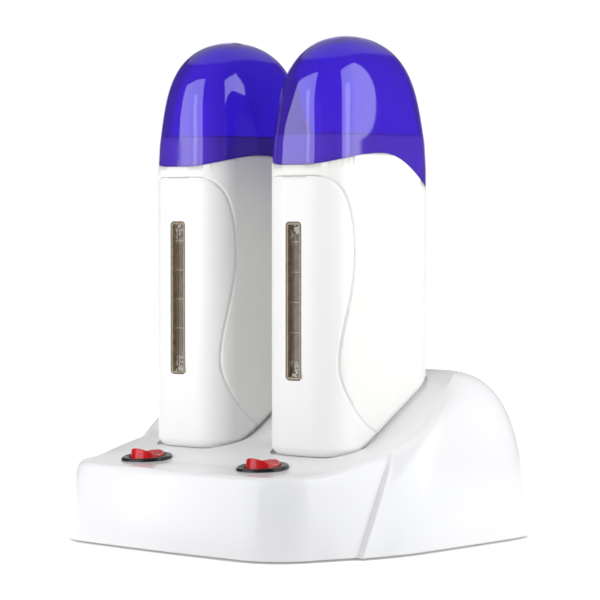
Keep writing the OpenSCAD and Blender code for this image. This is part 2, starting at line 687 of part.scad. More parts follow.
module inner_shelf() {
    translate([0, 0, shelf_z]) linear_extrude(shelf_t) heater_plan(casing_wall + seam_gap);
    intersection() {
        translate([0, 0, shelf_z]) linear_extrude(shelf_t) heater_plan(casing_wall / 2);
        translate([-far, seam_waist.x + 2, 0]) cube(2 * far);
    }
    for (s = [-1, 1]) translate([s * case_screw.x, case_screw.y, seat_z + casing_wall])
        cylinder(r = 3.5, h = shelf_h - casing_wall + eps);
}

module sleeve_holes(r, low, h)
    for (s = [-1, 1]) translate([s * pin_pitch / 2, pin_y, low]) cylinder(r = r, h = h);

module casing(side) color("white") at_heater(side) difference() {
    union() {
        difference() {
            union() {
                casing_solid();
                collar();
            }
            casing_hollow();
            neck_hollow();
            across(shift(seam(), [seam_gap, seam_gap]));
            translate([0, pin_y, 0]) block(seat_z, [nose_w, nose_d, socket_low - seat_z + 4]);
        }
        intersection() {
            inner_shelf();
            across(concat(sole(casing_wall / 2), [[heater_d / 2, far], [-heater_d / 2, far]]));
        }
    }
    for (s = [-1, 1]) translate([s * case_screw.x, case_screw.y, seat_z])
        cylinder(r = case_screw_r + fit, h = case_screw_len + casing_wall + 1);
    sleeve_holes(2, shelf_z - 1, shelf_t + 2);
    for (s = [-1, 1]) translate([s * 5, well_back + wire_hole_y, 0]) block(shelf_z - eps, [3, 5.4, shelf_t + 1]);
}

module front_cover(side) color("white") at_heater(side) difference() {
    intersection() {
        difference() {
            casing_solid();
            casing_hollow();
        }
        across(seam());
    }
    translate([0, -heater_d / 2, 0]) block(seat_z + window_z, [window_w, 10, window_h]);
    for (s = [-1, 1]) translate([s * case_screw.x, case_screw.y, seat_z - eps]) {
        cylinder(r = case_screw_r + 0.2, h = 10);
        cylinder(r = case_screw_r + 1.6, h = 1 + eps);
    }
}

module cover_screws(side) color("silver") at_heater(side) for (s = [-1, 1])
    translate([s * case_screw.x, case_screw.y, seat_z + 1]) screw(case_screw_r, case_screw_len, case_screw_r + 1.4, .8);

module window_lens(side) color([.45, .38, .33, .6]) at_heater(side) {
    low = seat_z + window_z;
    back = -heater_d / 2 + casing_wall;
    lap = 1.1;
    translate([-window_w / 2 + .1, back - lens_t, low + .1]) cube([window_w - .2, lens_t + eps, window_h - .2]);
    translate([-window_w / 2 - lap, back, low - lap])
        cube([window_w + 2 * lap, lens_flange_t, window_h + 2 * lap]);
    for (z = [mark_pitch / 2:mark_pitch:window_h - 2])
        translate([-window_w / 2 + 1, back + lens_flange_t - eps, low + z]) cube([window_w - 2, .5, .6]);
}

// ---- inside a heater ------------------------------------------------------------------

module well_plan(inset)
    translate([0, well_y]) plan(well_w - 2 * inset, well_d - 2 * inset, well_r - inset, well_r - inset);

well_low = shelf_z + shelf_t;
module wax_well(side) color("gainsboro") at_heater(side) difference() {
    translate([0, 0, well_low]) linear_extrude(collar_z - well_low) well_plan(0);
    translate([0, 0, well_low + well_wall]) linear_extrude(far) well_plan(well_wall);
    translate([0, well_y - well_d / 2, 0]) block(seat_z + window_z + 1, [window_w - 1.4, 6, window_h - 2]);
}

module guide_ring(side) color("white") at_heater(side) difference() {
    translate([0, 0, collar_z]) linear_extrude(guide_t) heater_plan(collar_inset + .5);
    translate([0, 0, collar_z - eps]) linear_extrude(guide_t + 1) well_plan(well_wall);
}

element_z = seat_z + .32 * collar_h;
module heating_element(side) color("sienna") at_heater(side)
    translate([0, well_back + element_t / 2, 0]) block(element_z, [element_w, element_t, element_h]);

module element_strap(side) color("silver") at_heater(side) {
    y = well_back + element_t;
    arm = element_w / 2 + 0.1;
    for (z = [element_z + 12, element_z + element_h - 20]) translate([0, 0, z]) {
        translate([-arm - strap_t, y, 0]) cube([2 * (arm + strap_t), strap_t, 8]);
        for (s = [-1, 1]) translate([s * (arm + strap_t / 2) - strap_t / 2, well_back, 0])
            cube([strap_t, element_t + strap_t, 8]);
    }
}

cutout_z = seat_z + .84 * collar_h;
module thermal_cutout(side) color([.2, .2, .22]) at_heater(side)
    translate([0, well_back, cutout_z]) rotate([-90, 0, 0]) {
        cylinder(r = cutout_r, h = cutout_t - 2);
        cylinder(r = cutout_r - 1.5, h = cutout_t);
    }

module socket_block(side) color([.15, .15, .16]) at_heater(side) difference() {
    intersection() {
        translate([0, pin_y, 0]) block(socket_low - 4, [nose_w - 1, nose_d + 3, shelf_z - socket_low + 4]);
        across([[-far, socket_low], [far, socket_low], [far, far], [-far, far]]);
        across(concat(shift(sole(casing_wall), [0, .05]), [[heater_d / 2, far], [-heater_d / 2, far]]));
    }
    sleeve_holes(sleeve_r + fit, 0, far);
}

module contact_sleeves(side) color("gold") at_heater(side) difference() {
    sleeve_holes(sleeve_r, socket_low + 1, shelf_z - socket_low - 1);
    sleeve_holes(pin_r + pin_gap, socket_low - 1, shelf_z - socket_low);
}

module heater_wires(side) color("firebrick") at_heater(side) {
    y = well_back + element_t / 2;
    for (s = [-1, 1])
        wire(concat([[s * pin_pitch / 2, socket_back + eps, shelf_z - 3]],
            route([[s * pin_pitch / 2, socket_back + 2, shelf_z - 3], [s * 5, socket_back + 5, shelf_z - 3],
                   [s * 5, well_back - 5, shelf_z - 2], [s * 5, well_back - 2.3, shelf_z - 1.6]], 5),
            route([[s * 5, well_back + 1.1, shelf_z + 1.5], [s * 5, y, shelf_z + 4], [s * 5, y, shelf_z + 6],
                   [s * 5, y, shelf_z + 9]], 4),
            [[s * 5, y, element_z - eps]]), .8);
}

// ---- caps ---------------------------------------------------------------------------------

// Plan points of a cap, moved in by inset: corners as arcs, long sides cut for the wavy edge
side_cuts = 8;
corner_cuts = 6;
function run(a, b, n) = [for (i = [1:n - 1]) mix(a, b, i / n)];
function cap_plan(inset) =
    let (w = heater_w / 2 - inset, d = heater_d / 2 - inset, f = nose_r - inset, b = back_r - inset)
    concat(
        run([f - w, -d], [w - f, -d], 3),
        arc([w - f, f - d], f, -90, 0, corner_cuts),
        run([w, f - d], [w, d - b], side_cuts),
        arc([w - b, d - b], b, 0, 90, corner_cuts),
        run([w - b, d], [b - w, d], 3),
        arc([b - w, d - b], b, 90, 180, corner_cuts),
        run([-w, d - b], [-w, f - d], side_cuts),
        arc([f - w, f - d], f, 180, 270, corner_cuts));

// Height of the cap's lower edge over y
function rim_z(y) = lookup(y, rim());

// The dome closes in as it rises, and its plan turns from a rounded box to an oval
dome_z = seat_z + rim_front - 1.5;
dome_steps = [0, .13, .26, .38, .49, .59, .68, .76, .83, .89, .94, .975, .995];
function close_in(h) = (1 - .09 * h) * sqrt(1 - pow(h, 5));
function oval_share(h) = .66 * clip((h - .2) / .8);

function cap_ring(step, inset) =
    let (top = seat_z + heater_h - inset, w = heater_w / 2 - inset, d = heater_d / 2 - inset)
    [for (p = cap_plan(inset))
        let (z = mix(rim_z(p.y) + cap_gap, top, step), h = clip((z - dome_z) / (top - dome_z)),
             a = atan2(p.y / d, p.x / w), q = mix(p, [w * cos(a), d * sin(a)], oval_share(h)) * close_in(h))
        [q.x, q.y, z]];
function cap_points(inset) = concat(
    [for (h = dome_steps) for (p = cap_ring(h, inset)) p], [[0, 0, seat_z + heater_h - inset]]);
cap_round = len(cap_plan(0));
cap_last = len(dome_steps) - 1;
function cap_faces() = concat(
    [for (j = [0:cap_last - 1]) for (k = [0:cap_round - 1])
        for (f = quad(j * cap_round + k, (j + 1) * cap_round + k,
                      (j + 1) * cap_round + (k + 1) % cap_round, j * cap_round + (k + 1) % cap_round)) f],
    [for (k = [0:cap_round - 1])
        [cap_last * cap_round + k, (cap_last + 1) * cap_round, cap_last * cap_round + (k + 1) % cap_round]]);

module cap(side) color([.24, .14, .65, .85]) at_heater(side) {
    outer = cap_points(0);
    inner = cap_points(cap_wall);
    n = len(outer);
    polyhedron(concat(outer, inner), concat(
        cap_faces(),
        [for (f = cap_faces()) [f[2] + n, f[1] + n, f[0] + n]],
        [for (k = [0:cap_round - 1])
            for (f = quad(k, (k + 1) % cap_round, n + (k + 1) % cap_round, n + k)) f]));
}

// ---- the whole -------------------------------------------------------------------------------

base_shell();
base_plate();
feet();
base_screws();
cord_gland();
terminal_block();
terminal_screws();
mains_wires();
switch_housing(-1);  // switch_housing_left
switch_housing(1);  // switch_housing_right
switch_terminals(-1);  // switch_terminals_left
switch_terminals(1);  // switch_terminals_right
rocker(-1);  // rocker_left
rocker(1);  // rocker_right
pin_block(-1);  // pin_block_left
pin_block(1);  // pin_block_right
contact_pins(-1);  // contact_pins_left
contact_pins(1);  // contact_pins_right
switch_wires(-1);  // switch_wires_left
switch_wires(1);  // switch_wires_right
casing(-1);  // casing_left
casing(1);  // casing_right
front_cover(-1);  // front_cover_left
front_cover(1);  // front_cover_right
window_lens(-1);  // window_lens_left
window_lens(1);  // window_lens_right
wax_well(-1);  // wax_well_left
wax_well(1);  // wax_well_right
guide_ring(-1);  // guide_ring_left
guide_ring(1);  // guide_ring_right
heating_element(-1);  // heating_element_left
heating_element(1);  // heating_element_right
element_strap(-1);  // element_strap_left
element_strap(1);  // element_strap_right
thermal_cutout(-1);  // thermal_cutout_left
thermal_cutout(1);  // thermal_cutout_right
socket_block(-1);  // socket_block_left
socket_block(1);  // socket_block_right
contact_sleeves(-1);  // contact_sleeves_left
contact_sleeves(1);  // contact_sleeves_right
heater_wires(-1);  // heater_wires_left
heater_wires(1);  // heater_wires_right
cover_screws(-1);  // cover_screws_left
cover_screws(1);  // cover_screws_right
cap(-1);  // cap_left
cap(1);  // cap_right
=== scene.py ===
"""Looks for a double roll-on wax heater: a glossy white desk base with two lift-out heaters.

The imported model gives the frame. Each sub-assembly below is a class that shapes its own visible
pieces over that frame, in metres, and dresses them in moulded plastic, metal or rubber.
"""
import logging
import math
from dataclasses import dataclass, field
from enum import Enum
from typing import Callable, Sequence

import bmesh
import bpy
from bmesh.types import BMEdge, BMFace, BMVert, BMesh
from bpy.types import Material, Node, NodeTree, Object
from mathutils import Matrix, Vector
from mathutils.bvhtree import BVHTree


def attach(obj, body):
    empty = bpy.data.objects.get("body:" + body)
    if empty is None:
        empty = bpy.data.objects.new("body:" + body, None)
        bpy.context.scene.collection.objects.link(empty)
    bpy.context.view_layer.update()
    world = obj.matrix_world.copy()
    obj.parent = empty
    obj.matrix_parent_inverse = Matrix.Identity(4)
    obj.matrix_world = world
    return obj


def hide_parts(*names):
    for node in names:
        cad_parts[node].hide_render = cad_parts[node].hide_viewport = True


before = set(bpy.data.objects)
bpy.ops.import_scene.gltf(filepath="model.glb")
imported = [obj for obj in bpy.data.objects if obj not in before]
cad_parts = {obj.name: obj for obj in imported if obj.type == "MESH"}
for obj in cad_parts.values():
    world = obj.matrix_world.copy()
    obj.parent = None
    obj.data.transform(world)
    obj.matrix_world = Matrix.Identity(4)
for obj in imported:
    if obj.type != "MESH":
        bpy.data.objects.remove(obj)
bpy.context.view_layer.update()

LOG = logging.getLogger("wax_heater")
MM = 0.001
Point = tuple[float, float]
Triple = tuple[float, float, float]
Colour = Triple
Link = tuple[Node, str | int, Node, str | int]


class Side(Enum):
    """The two stations, as seen from the switches' side."""

    LEFT = -1
    RIGHT = 1

    def named(self, stem: str) -> str:
        """The name of this side's node or piece."""
        return f"{stem}_{self.name.lower()}"


class Relief(Enum):
    """What a moulded surface's fine relief looks like: (scale per metre, depth in metres)."""

    POLISHED = (900.0, 0.000004)
    SATIN = (2600.0, 0.00001)
    SPARK = (4200.0, 0.00003)


# ---- curves and outlines, in millimetres ------------------------------------------------------

def mix(a: float, b: float, t: float) -> float:
    """The value t of the way from a to b."""
    return a + (b - a) * t


def clip(v: float) -> float:
    """v held between 0 and 1."""
    return min(max(v, 0.0), 1.0)


def bezier(p: Sequence[Sequence[float]], t: float) -> tuple[float, ...]:
    """A point of a cubic curve.

    Args:
        p: the four control points.
        t: the share of the way along.

    Returns:
        The point, with as many values as the control points have.
    """
    w = ((1 - t) ** 3, 3 * t * (1 - t) ** 2, 3 * t * t * (1 - t), t ** 3)
    return tuple(sum(w[i] * p[i][k] for i in range(4)) for k in range(len(p[0])))


def smooth_max(a: float, b: float, k: float) -> float:
    """The larger of a and b, blended over k."""
    return max(a, b) + max(k - abs(a - b), 0.0) ** 2 / (4 * k)


def smooth_min(a: float, b: float, k: float) -> float:
    """The smaller of a and b, blended over k."""
    return min(a, b) - max(k - abs(a - b), 0.0) ** 2 / (4 * k)


def rounded_box(width: float, depth: float, front: float, back: float, arc_steps: int,
                side_steps: int, end_steps: int = 6) -> list[Point]:
    """The plan outline of a heater: a box with round corners, anticlockwise from its front.

    Args:
        width: size along x.
        depth: size along y.
        front: radius of the two front corners.
        back: radius of the two rear corners.
        arc_steps: stretches in a corner.
        side_steps: stretches in a long side.
        end_steps: stretches in the short front and rear.

    Returns:
        The outline's points.
    """
    w, d = width / 2, depth / 2
    corners = ((w - front, front - d, front, -90), (w - back, d - back, back, 0),
               (back - w, d - back, back, 90), (front - w, front - d, front, 180))
    points: list[Point] = []
    for n, (cx, cy, r, start) in enumerate(corners):
        points += [(cx + r * math.cos(math.radians(start + 90 * i / arc_steps)),
                    cy + r * math.sin(math.radians(start + 90 * i / arc_steps)))
                   for i in range(arc_steps + 1)]
        nx, ny, nr, ns = corners[(n + 1) % 4]
        a = points[-1]
        b = (nx + nr * math.cos(math.radians(ns)), ny + nr * math.sin(math.radians(ns)))
        steps = side_steps if n % 2 == 0 else end_steps
        points += [(mix(a[0], b[0], i / steps), mix(a[1], b[1], i / steps)) for i in range(1, steps)]
    return points


# ---- materials ---------------------------------------------------------------------------------

def add(tree: NodeTree, kind: str, operation: str = "", **values: float | Sequence[float]) -> Node:
    """Adds a shader node.

    Args:
        tree: the tree that it goes into.
        kind: the node's type, without its ShaderNode prefix.
        operation: what a math node does.
        values: plain input values by label, with _ for a space.

    Returns:
        The node.
    """
    node = tree.nodes.new("ShaderNode" + kind)
    if operation:
        node.operation = operation
    for label, value in values.items():
        node.inputs[label.replace("_", " ")].default_value = value
    return node


def wire(tree: NodeTree, *links: Link) -> None:
    """Links nodes: each link is a node, its output, another node and its input."""
    for start, out, end, into in links:
        tree.links.new(start.outputs[out], end.inputs[into])


def colour_mix(tree: NodeTree, first: Colour = (0, 0, 0), second: Colour = (0, 0, 0)) -> Node:
    """Adds a node that mixes two colours."""
    node = add(tree, "Mix")
    node.data_type = "RGBA"
    node.inputs["A"].default_value, node.inputs["B"].default_value = (*first, 1), (*second, 1)
    return node


def lay_over(bsdf: Node, mask: Node, plain: Colour = (0, 0, 0)) -> Node:
    """Lays another colour over a finish's own where a mask is 1.

    Args:
        bsdf: the finish's Principled node.
        mask: the node whose result is the mask.
        plain: the other colour.

    Returns:
        The node that mixes the two.
    """
    tree = bsdf.id_data
    over = colour_mix(tree, second=plain)
    own = bsdf.inputs["Base Color"].links[0].from_node
    wire(tree, (mask, "Result", over, "Factor"), (own, "Result", over, "A"),
         (over, "Result", bsdf, "Base Color"))
    return over


class ShaderGroups:
    """Node groups that several materials share, each built on first use."""

    def __init__(self) -> None:
        """Starts with no group built."""
        self._built: dict[str, NodeTree] = {}

    def _start(self, name: str, inputs: dict[str, float], outputs: Sequence[str]
               ) -> tuple[NodeTree, Node, Node]:
        """Opens a new group with float sockets.

        Args:
            name: the group's name.
            inputs: each input socket and its default.
            outputs: the output sockets.

        Returns:
            The group, its input node and its output node.
        """
        tree = bpy.data.node_groups.new(name, "ShaderNodeTree")
        for label, value in inputs.items():
            socket = tree.interface.new_socket(label, in_out="INPUT", socket_type="NodeSocketFloat")
            socket.default_value = value
        for label in outputs:
            tree.interface.new_socket(label, in_out="OUTPUT", socket_type="NodeSocketFloat")
        self._built[name] = tree
        return tree, tree.nodes.new("NodeGroupInput"), tree.nodes.new("NodeGroupOutput")

    @staticmethod
    def _noise(tree: NodeTree, detail: float) -> Node:
        """A noise node that reads the piece's own object coordinates."""
        place = add(tree, "TexCoord")
        noise = add(tree, "TexNoise", Detail=detail)
        wire(tree, (place, "Object", noise, "Vector"))
        return noise

    def cloud(self) -> NodeTree:
        """Slow unevenness, as of colour in a moulding or of fingers on a polished face."""
        if "cloud" in self._built:
            return self._built["cloud"]
        tree, given, out = self._start("cloud", {"Scale": 30.0, "Low": 0.35, "High": 0.7}, ("Mask",))
        noise = self._noise(tree, 4.0)
        ramp = add(tree, "MapRange")
        ramp.interpolation_type = "SMOOTHSTEP"
        wire(tree, (given, "Scale", noise, "Scale"), (noise, "Fac", ramp, "Value"),
             (given, "Low", ramp, "From Min"), (given, "High", ramp, "From Max"),
             (ramp, "Result", out, "Mask"))
        return tree

    def grain(self) -> NodeTree:
        """Fine even relief of a moulded, cast or rubber face."""
        if "grain" in self._built:
            return self._built["grain"]
        tree, given, out = self._start("grain", {"Scale": 2000.0}, ("Height",))
        noise = self._noise(tree, 2.0)
        wire(tree, (given, "Scale", noise, "Scale"), (noise, "Fac", out, "Height"))
        return tree

    def brushing(self) -> NodeTree:
        """Long fine lines of rolled or brushed metal, along x."""
        if "brushing" in self._built:
            return self._built["brushing"]
        tree, given, out = self._start("brushing", {"Fine": 3000.0, "Long": 60.0}, ("Height",))
        place, parts, joined = add(tree, "TexCoord"), add(tree, "SeparateXYZ"), add(tree, "CombineXYZ")
        noise = add(tree, "TexNoise", Scale=1.0)
        wire(tree, (place, "Object", parts, "Vector"))
        for axis, size in (("X", "Long"), ("Y", "Fine"), ("Z", "Fine")):
            node = add(tree, "Math", "MULTIPLY")
            wire(tree, (parts, axis, node, 0), (given, size, node, 1), (node, 0, joined, axis))
        wire(tree, (joined, "Vector", noise, "Vector"), (noise, "Fac", out, "Height"))
        return tree


GROUPS = ShaderGroups()


@dataclass(frozen=True)
class Finish:
    """A surface's colour, gloss and fine relief."""

    name: str
    colour: Colour
    shade: Colour
    roughness: float = 0.3
    rougher: float = 0.36
    patch: float = 30.0
    relief: Relief = Relief.SATIN
    metallic: float = 0.0
    coat: float = 0.0
    ior: float = 1.5
    brushed: bool = False

    def _group(self, tree: NodeTree, group: NodeTree, **values: float) -> Node:
        """Places a shared group in the material with its own values."""
        node = add(tree, "Group")
        node.node_tree = group
        for label, value in values.items():
            node.inputs[label].default_value = value
        return node

    def shader(self, mat: Material) -> Node:
        """Wires this finish into a material.

        Args:
            mat: a new material that uses nodes.

        Returns:
            The Principled node.
        """
        tree = mat.node_tree
        bsdf = tree.nodes["Principled BSDF"]
        bsdf.inputs["Metallic"].default_value = self.metallic
        bsdf.inputs["IOR"].default_value = self.ior
        bsdf.inputs["Coat Weight"].default_value = self.coat
        bsdf.inputs["Coat Roughness"].default_value = 0.04
        cloud = self._group(tree, GROUPS.cloud(), Scale=self.patch)
        tint = colour_mix(tree, self.colour, self.shade)
        smudge = self._group(tree, GROUPS.cloud(), Scale=self.patch * 2.3, Low=0.4, High=0.66)
        gloss = add(tree, "MapRange", To_Min=self.roughness, To_Max=self.rougher)
        scale, depth = self.relief.value
        if self.brushed:
            fine = self._group(tree, GROUPS.brushing(), Fine=scale, Long=scale / 40)
        else:
            fine = self._group(tree, GROUPS.grain(), Scale=scale)
        bump = add(tree, "Bump", Distance=depth, Strength=1.0)
        wire(tree, (cloud, "Mask", tint, "Factor"), (tint, "Result", bsdf, "Base Color"),
             (smudge, "Mask", gloss, "Value"), (gloss, "Result", bsdf, "Roughness"),
             (fine, "Height", bump, "Height"), (bump, "Normal", bsdf, "Normal"))
        return bsdf

    def material(self) -> Material:
        """The finish's material, made once."""
        done = bpy.data.materials.get(self.name)
        if done is not None:
            return done
        mat = bpy.data.materials.new(self.name)
        mat.use_nodes = True
        self.shader(mat)
        return mat


@dataclass(frozen=True)
class ClearFinish(Finish):
    """A dyed plastic that light passes."""

    clear: float = 1.0

    def shader(self, mat: Material) -> Node:
        """Adds the light that passes to the plain finish."""
        bsdf = super().shader(mat)
        bsdf.inputs["Transmission Weight"].default_value = self.clear
        return bsdf


@dataclass(frozen=True)
class CapFinish(ClearFinish):
    """The caps' violet, with a painted glow below the collar's top, where the lit white collar shows through.
    """

    collar: float = 0.1812
    blur: float = 0.0005
    pale: Colour = (0.21, 0.1, 0.86)

    def shader(self, mat: Material) -> Node:
        """Paints the paler foot below the collar's top: a painted glow of the white collar behind the wall.
        """
        bsdf = super().shader(mat)
        tree = mat.node_tree
        place, parts = add(tree, "TexCoord"), add(tree, "SeparateXYZ")
        # Painted light: the colour turns paler below the collar's top, standing in for the lit white collar
        # seen through the cap.
        foot = add(tree, "MapRange", From_Min=self.collar - self.blur, From_Max=self.collar + self.blur,
                   To_Min=1.0, To_Max=0.0)
        wire(tree, (place, "Object", parts, "Vector"), (parts, "Z", foot, "Value"))
        lay_over(bsdf, foot, self.pale)
        return bsdf


@dataclass(frozen=True)
class LensFinish(ClearFinish):
    """A smoky lens with pale and dark flecks at both ends of its slot; the pale flecks are painted glints."""

    middle: float = 0.1087
    reach: float = 0.0347
    chip_scale: float = 950.0
    chip_dark: Colour = (0.05, 0.035, 0.025)
    painted_glint: Colour = (0.5, 0.46, 0.4)

    def shader(self, mat: Material) -> Node:
        """Adds the pale and dark flecks near the slot's ends, the pale ones painted glints."""
        bsdf = super().shader(mat)
        tree = mat.node_tree
        place, parts = add(tree, "TexCoord"), add(tree, "SeparateXYZ")
        away, size = add(tree, "Math", "SUBTRACT"), add(tree, "Math", "ABSOLUTE")
        away.inputs[1].default_value = self.middle
        ends = add(tree, "MapRange", From_Min=self.reach - 0.011, From_Max=self.reach - 0.003)
        # The ramp's pale stop paints glints into the flecks.
        chips, flecks_and_glints = add(tree, "TexVoronoi", Scale=self.chip_scale), add(tree, "ValToRGB")
        for stop, at, colour in zip(flecks_and_glints.color_ramp.elements, (0.38, 0.62), (self.chip_dark, self.painted_glint)):
            stop.position, stop.color = at, (*colour, 1)
        wire(tree, (place, "Object", parts, "Vector"), (place, "Object", chips, "Vector"),
             (parts, "Z", away, 0), (away, 0, size, 0), (size, 0, ends, "Value"),
             (chips, "Color", flecks_and_glints, "Fac"))
        wire(tree, (flecks_and_glints, "Color", lay_over(bsdf, ends), "B"))
        return bsdf


GLOSS_WHITE = Finish("gloss_white_shell", (0.86, 0.86, 0.87), (0.845, 0.85, 0.86), 0.12, 0.17, 14,
                     Relief.POLISHED)
# The casing white's slight warm tint is painted light: it stands in for warm light bounced onto its shaded
# sides.
CASE_WHITE = Finish("satin_white_casing", (0.86, 0.862, 0.84), (0.85, 0.85, 0.825), 0.33, 0.37, 22,
                    Relief.SATIN)
COVER_WHITE = Finish("satin_white_cover", (0.87, 0.87, 0.87), (0.86, 0.86, 0.85), 0.33, 0.37, 26,
                     Relief.SATIN)
COLLAR_WHITE = Finish("white_guide_ring", (0.8, 0.8, 0.8), (0.77, 0.77, 0.76), 0.3, 0.4, 60, Relief.SATIN)
FLOOR_WHITE = Finish("matt_white_floor", (0.66, 0.66, 0.66), (0.6, 0.6, 0.6), 0.5, 0.6, 30, Relief.SPARK)
BEZEL_BLACK = Finish("gloss_black_switch", (0.006, 0.006, 0.009), (0.012, 0.012, 0.016), 0.22, 0.34, 160,
                     Relief.POLISHED)
BLOCK_BLACK = Finish("matt_black_block", (0.03, 0.03, 0.032), (0.045, 0.045, 0.048), 0.42, 0.55, 120,
                     Relief.SPARK)
ROCKER_RED = Finish("gloss_red_rocker", (0.6, 0.006, 0.012), (0.5, 0.004, 0.008), 0.2, 0.28, 200,
                    Relief.POLISHED, coat=0.2)
FOOT_RUBBER = Finish("black_rubber", (0.018, 0.018, 0.018), (0.03, 0.03, 0.029), 0.6, 0.75, 150,
                     Relief.SPARK, ior=1.45)
IVORY = Finish("ivory_terminal_block", (0.62, 0.58, 0.46), (0.56, 0.52, 0.41), 0.4, 0.5, 90, Relief.SPARK)
ZINC = Finish("zinc_plated_steel", (0.56, 0.57, 0.58), (0.48, 0.49, 0.5), 0.3, 0.42, 220, Relief.SATIN,
              metallic=1.0, brushed=True)
BRASS = Finish("tinned_brass", (0.78, 0.58, 0.27), (0.7, 0.5, 0.22), 0.24, 0.36, 260, Relief.SATIN,
               metallic=1.0, brushed=True)
DRAWN_ALUMINIUM = Finish("drawn_aluminium", (0.66, 0.66, 0.67), (0.56, 0.56, 0.58), 0.3, 0.45, 40,
                         Relief.SATIN, metallic=1.0, brushed=True)
CERAMIC = Finish("element_ceramic", (0.42, 0.33, 0.24), (0.34, 0.26, 0.18), 0.6, 0.75, 80, Relief.SPARK)
WIRE_BROWN = Finish("brown_wire", (0.14, 0.05, 0.02), (0.11, 0.04, 0.015), 0.35, 0.45, 300, Relief.SATIN)
WIRE_BLUE = Finish("blue_wire", (0.02, 0.05, 0.3), (0.015, 0.04, 0.24), 0.35, 0.45, 300, Relief.SATIN)
WIRE_RED = Finish("red_silicone_wire", (0.4, 0.02, 0.02), (0.32, 0.015, 0.015), 0.4, 0.5, 300,
                  Relief.SATIN)
CAP_VIOLET = CapFinish("clear_violet_cap", (0.14, 0.055, 0.75), (0.13, 0.05, 0.71), 0.012, 0.03, 20,
                       Relief.POLISHED, ior=1.49, clear=0.75, coat=1.0)
LENS_EDGE = Finish("lens_dark_edge", (0.075, 0.05, 0.032), (0.12, 0.085, 0.055), 0.3, 0.45, 380,
                   Relief.POLISHED)
LENS_RIM = Finish("smoky_lens_rim", (0.30, 0.235, 0.155), (0.21, 0.16, 0.105), 0.12, 0.25, 380,
                  Relief.POLISHED)
LENS_LINE = Finish("lens_level_lines", (0.42, 0.37, 0.30), (0.3, 0.26, 0.2), 0.15, 0.3, 380,
                   Relief.POLISHED)
LENS_SMOKE = LensFinish("wax_window_lens", (0.17, 0.125, 0.09), (0.12, 0.09, 0.062), 0.08, 0.2, 240,
                        Relief.POLISHED, ior=1.49, clear=0.2)


# ---- mesh work ----------------------------------------------------------------------------------

def outward(bm: BMesh) -> None:
    """Turns a mesh's faces outwards."""
    bmesh.ops.recalc_face_normals(bm, faces=bm.faces)


def weld(bm: BMesh, reach: float) -> None:
    """Merges a mesh's points that lie within reach, in metres."""
    bmesh.ops.remove_doubles(bm, verts=bm.verts, dist=reach)


def grid(bm: BMesh, across: int, up: int, place: Callable[[float, float], Sequence[float]]
         ) -> list[BMVert]:
    """Lays a grid over a surface.

    Args:
        bm: the mesh that the grid is added to.
        across: stretches along the first share.
        up: stretches along the second share.
        place: gives a point in millimetres for two shares between 0 and 1.

    Returns:
        The grid's points.
    """
    made = bmesh.ops.create_grid(bm, x_segments=across, y_segments=up, size=0.5)["verts"]
    for v in made:
        v.co = Vector(place(round((v.co.x + 0.5) * across) / across, round((v.co.y + 0.5) * up) / up)) * MM
    return made


def prism(outline: Sequence[Point], low: float, high: float) -> BMesh:
    """An outline in millimetres, raised from low to high.

    Args:
        outline: the plan's points, anticlockwise.
        low: height of its bottom.
        high: height of its top.

    Returns:
        The closed mesh.
    """
    bm = bmesh.new()
    face = bm.faces.new([bm.verts.new(Vector((x, y, low)) * MM) for x, y in outline])
    raised = bmesh.ops.extrude_face_region(bm, geom=[face])["geom"]
    bmesh.ops.translate(bm, vec=(0, 0, (high - low) * MM), verts=points_of(raised))
    outward(bm)
    return bm


def lathe(profile: Sequence[Point], steps: int = 96) -> BMesh:
    """A profile of (radius, height) points in millimetres, spun about z.

    Args:
        profile: the points, a closed loop if the first comes again at the end.
        steps: faces around.

    Returns:
        The mesh, with its faces outwards.
    """
    bm = bmesh.new()
    verts = [bm.verts.new((r * MM, 0, z * MM)) for r, z in profile]
    edges = [bm.edges.new(pair) for pair in zip(verts, verts[1:])]
    bmesh.ops.spin(bm, geom=verts + edges, axis=(0, 0, 1), cent=(0, 0, 0), angle=math.tau, steps=steps,
                   use_merge=True)
    weld(bm, 1e-7)
    outward(bm)
    return bm


def slice_at(bm: BMesh, spot: Sequence[float], facing: Sequence[float],
             clear: bool = False) -> None:
    """Cuts a mesh's faces along a plane.

    Args:
        bm: the mesh.
        spot: a point of the plane in millimetres.
        facing: the plane's normal.
        clear: whether what lies before the plane goes.
    """
    bmesh.ops.bisect_plane(bm, geom=bm.verts[:] + bm.edges[:] + bm.faces[:], plane_co=Vector(spot) * MM,
                           plane_no=facing, clear_outer=clear)


def points_of(geom: Sequence[BMVert | BMEdge | BMFace]) -> list[BMVert]:
    """The points among an operator's results."""
    return [g for g in geom if isinstance(g, BMVert)]


def join(bm: BMesh, other: BMesh) -> None:
    """Adds another mesh to a mesh, and uses it up."""
    mesh = bpy.data.meshes.new("joined")
    other.to_mesh(mesh)
    other.free()
    bm.from_mesh(mesh)
    bpy.data.meshes.remove(mesh)


def merge_flat(bm: BMesh, reach: float, bend: float = 0.7) -> None:
    """Merges points that lie within reach in metres, and faces that bend by less than so many degrees."""
    weld(bm, reach)
    bmesh.ops.dissolve_limit(bm, angle_limit=math.radians(bend), verts=bm.verts, edges=bm.edges,
                             use_dissolve_boundaries=False)


def copied(node: str) -> BMesh:
    """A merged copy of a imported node, its flat faces joined up."""
    bm = bmesh.new()
    bm.from_mesh(bpy.data.objects[node].data if node in bpy.data.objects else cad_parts[node].data)
    merge_flat(bm, 2e-6)
    return bm


def as_object(name: str, bm: BMesh) -> Object:
    """Puts a mesh in the scene under a name, at the origin."""
    mesh = bpy.data.meshes.new(name)
    bm.to_mesh(mesh)
    bm.free()
    obj = bpy.data.objects.new(name, mesh)
    bpy.context.scene.collection.objects.link(obj)
    return obj


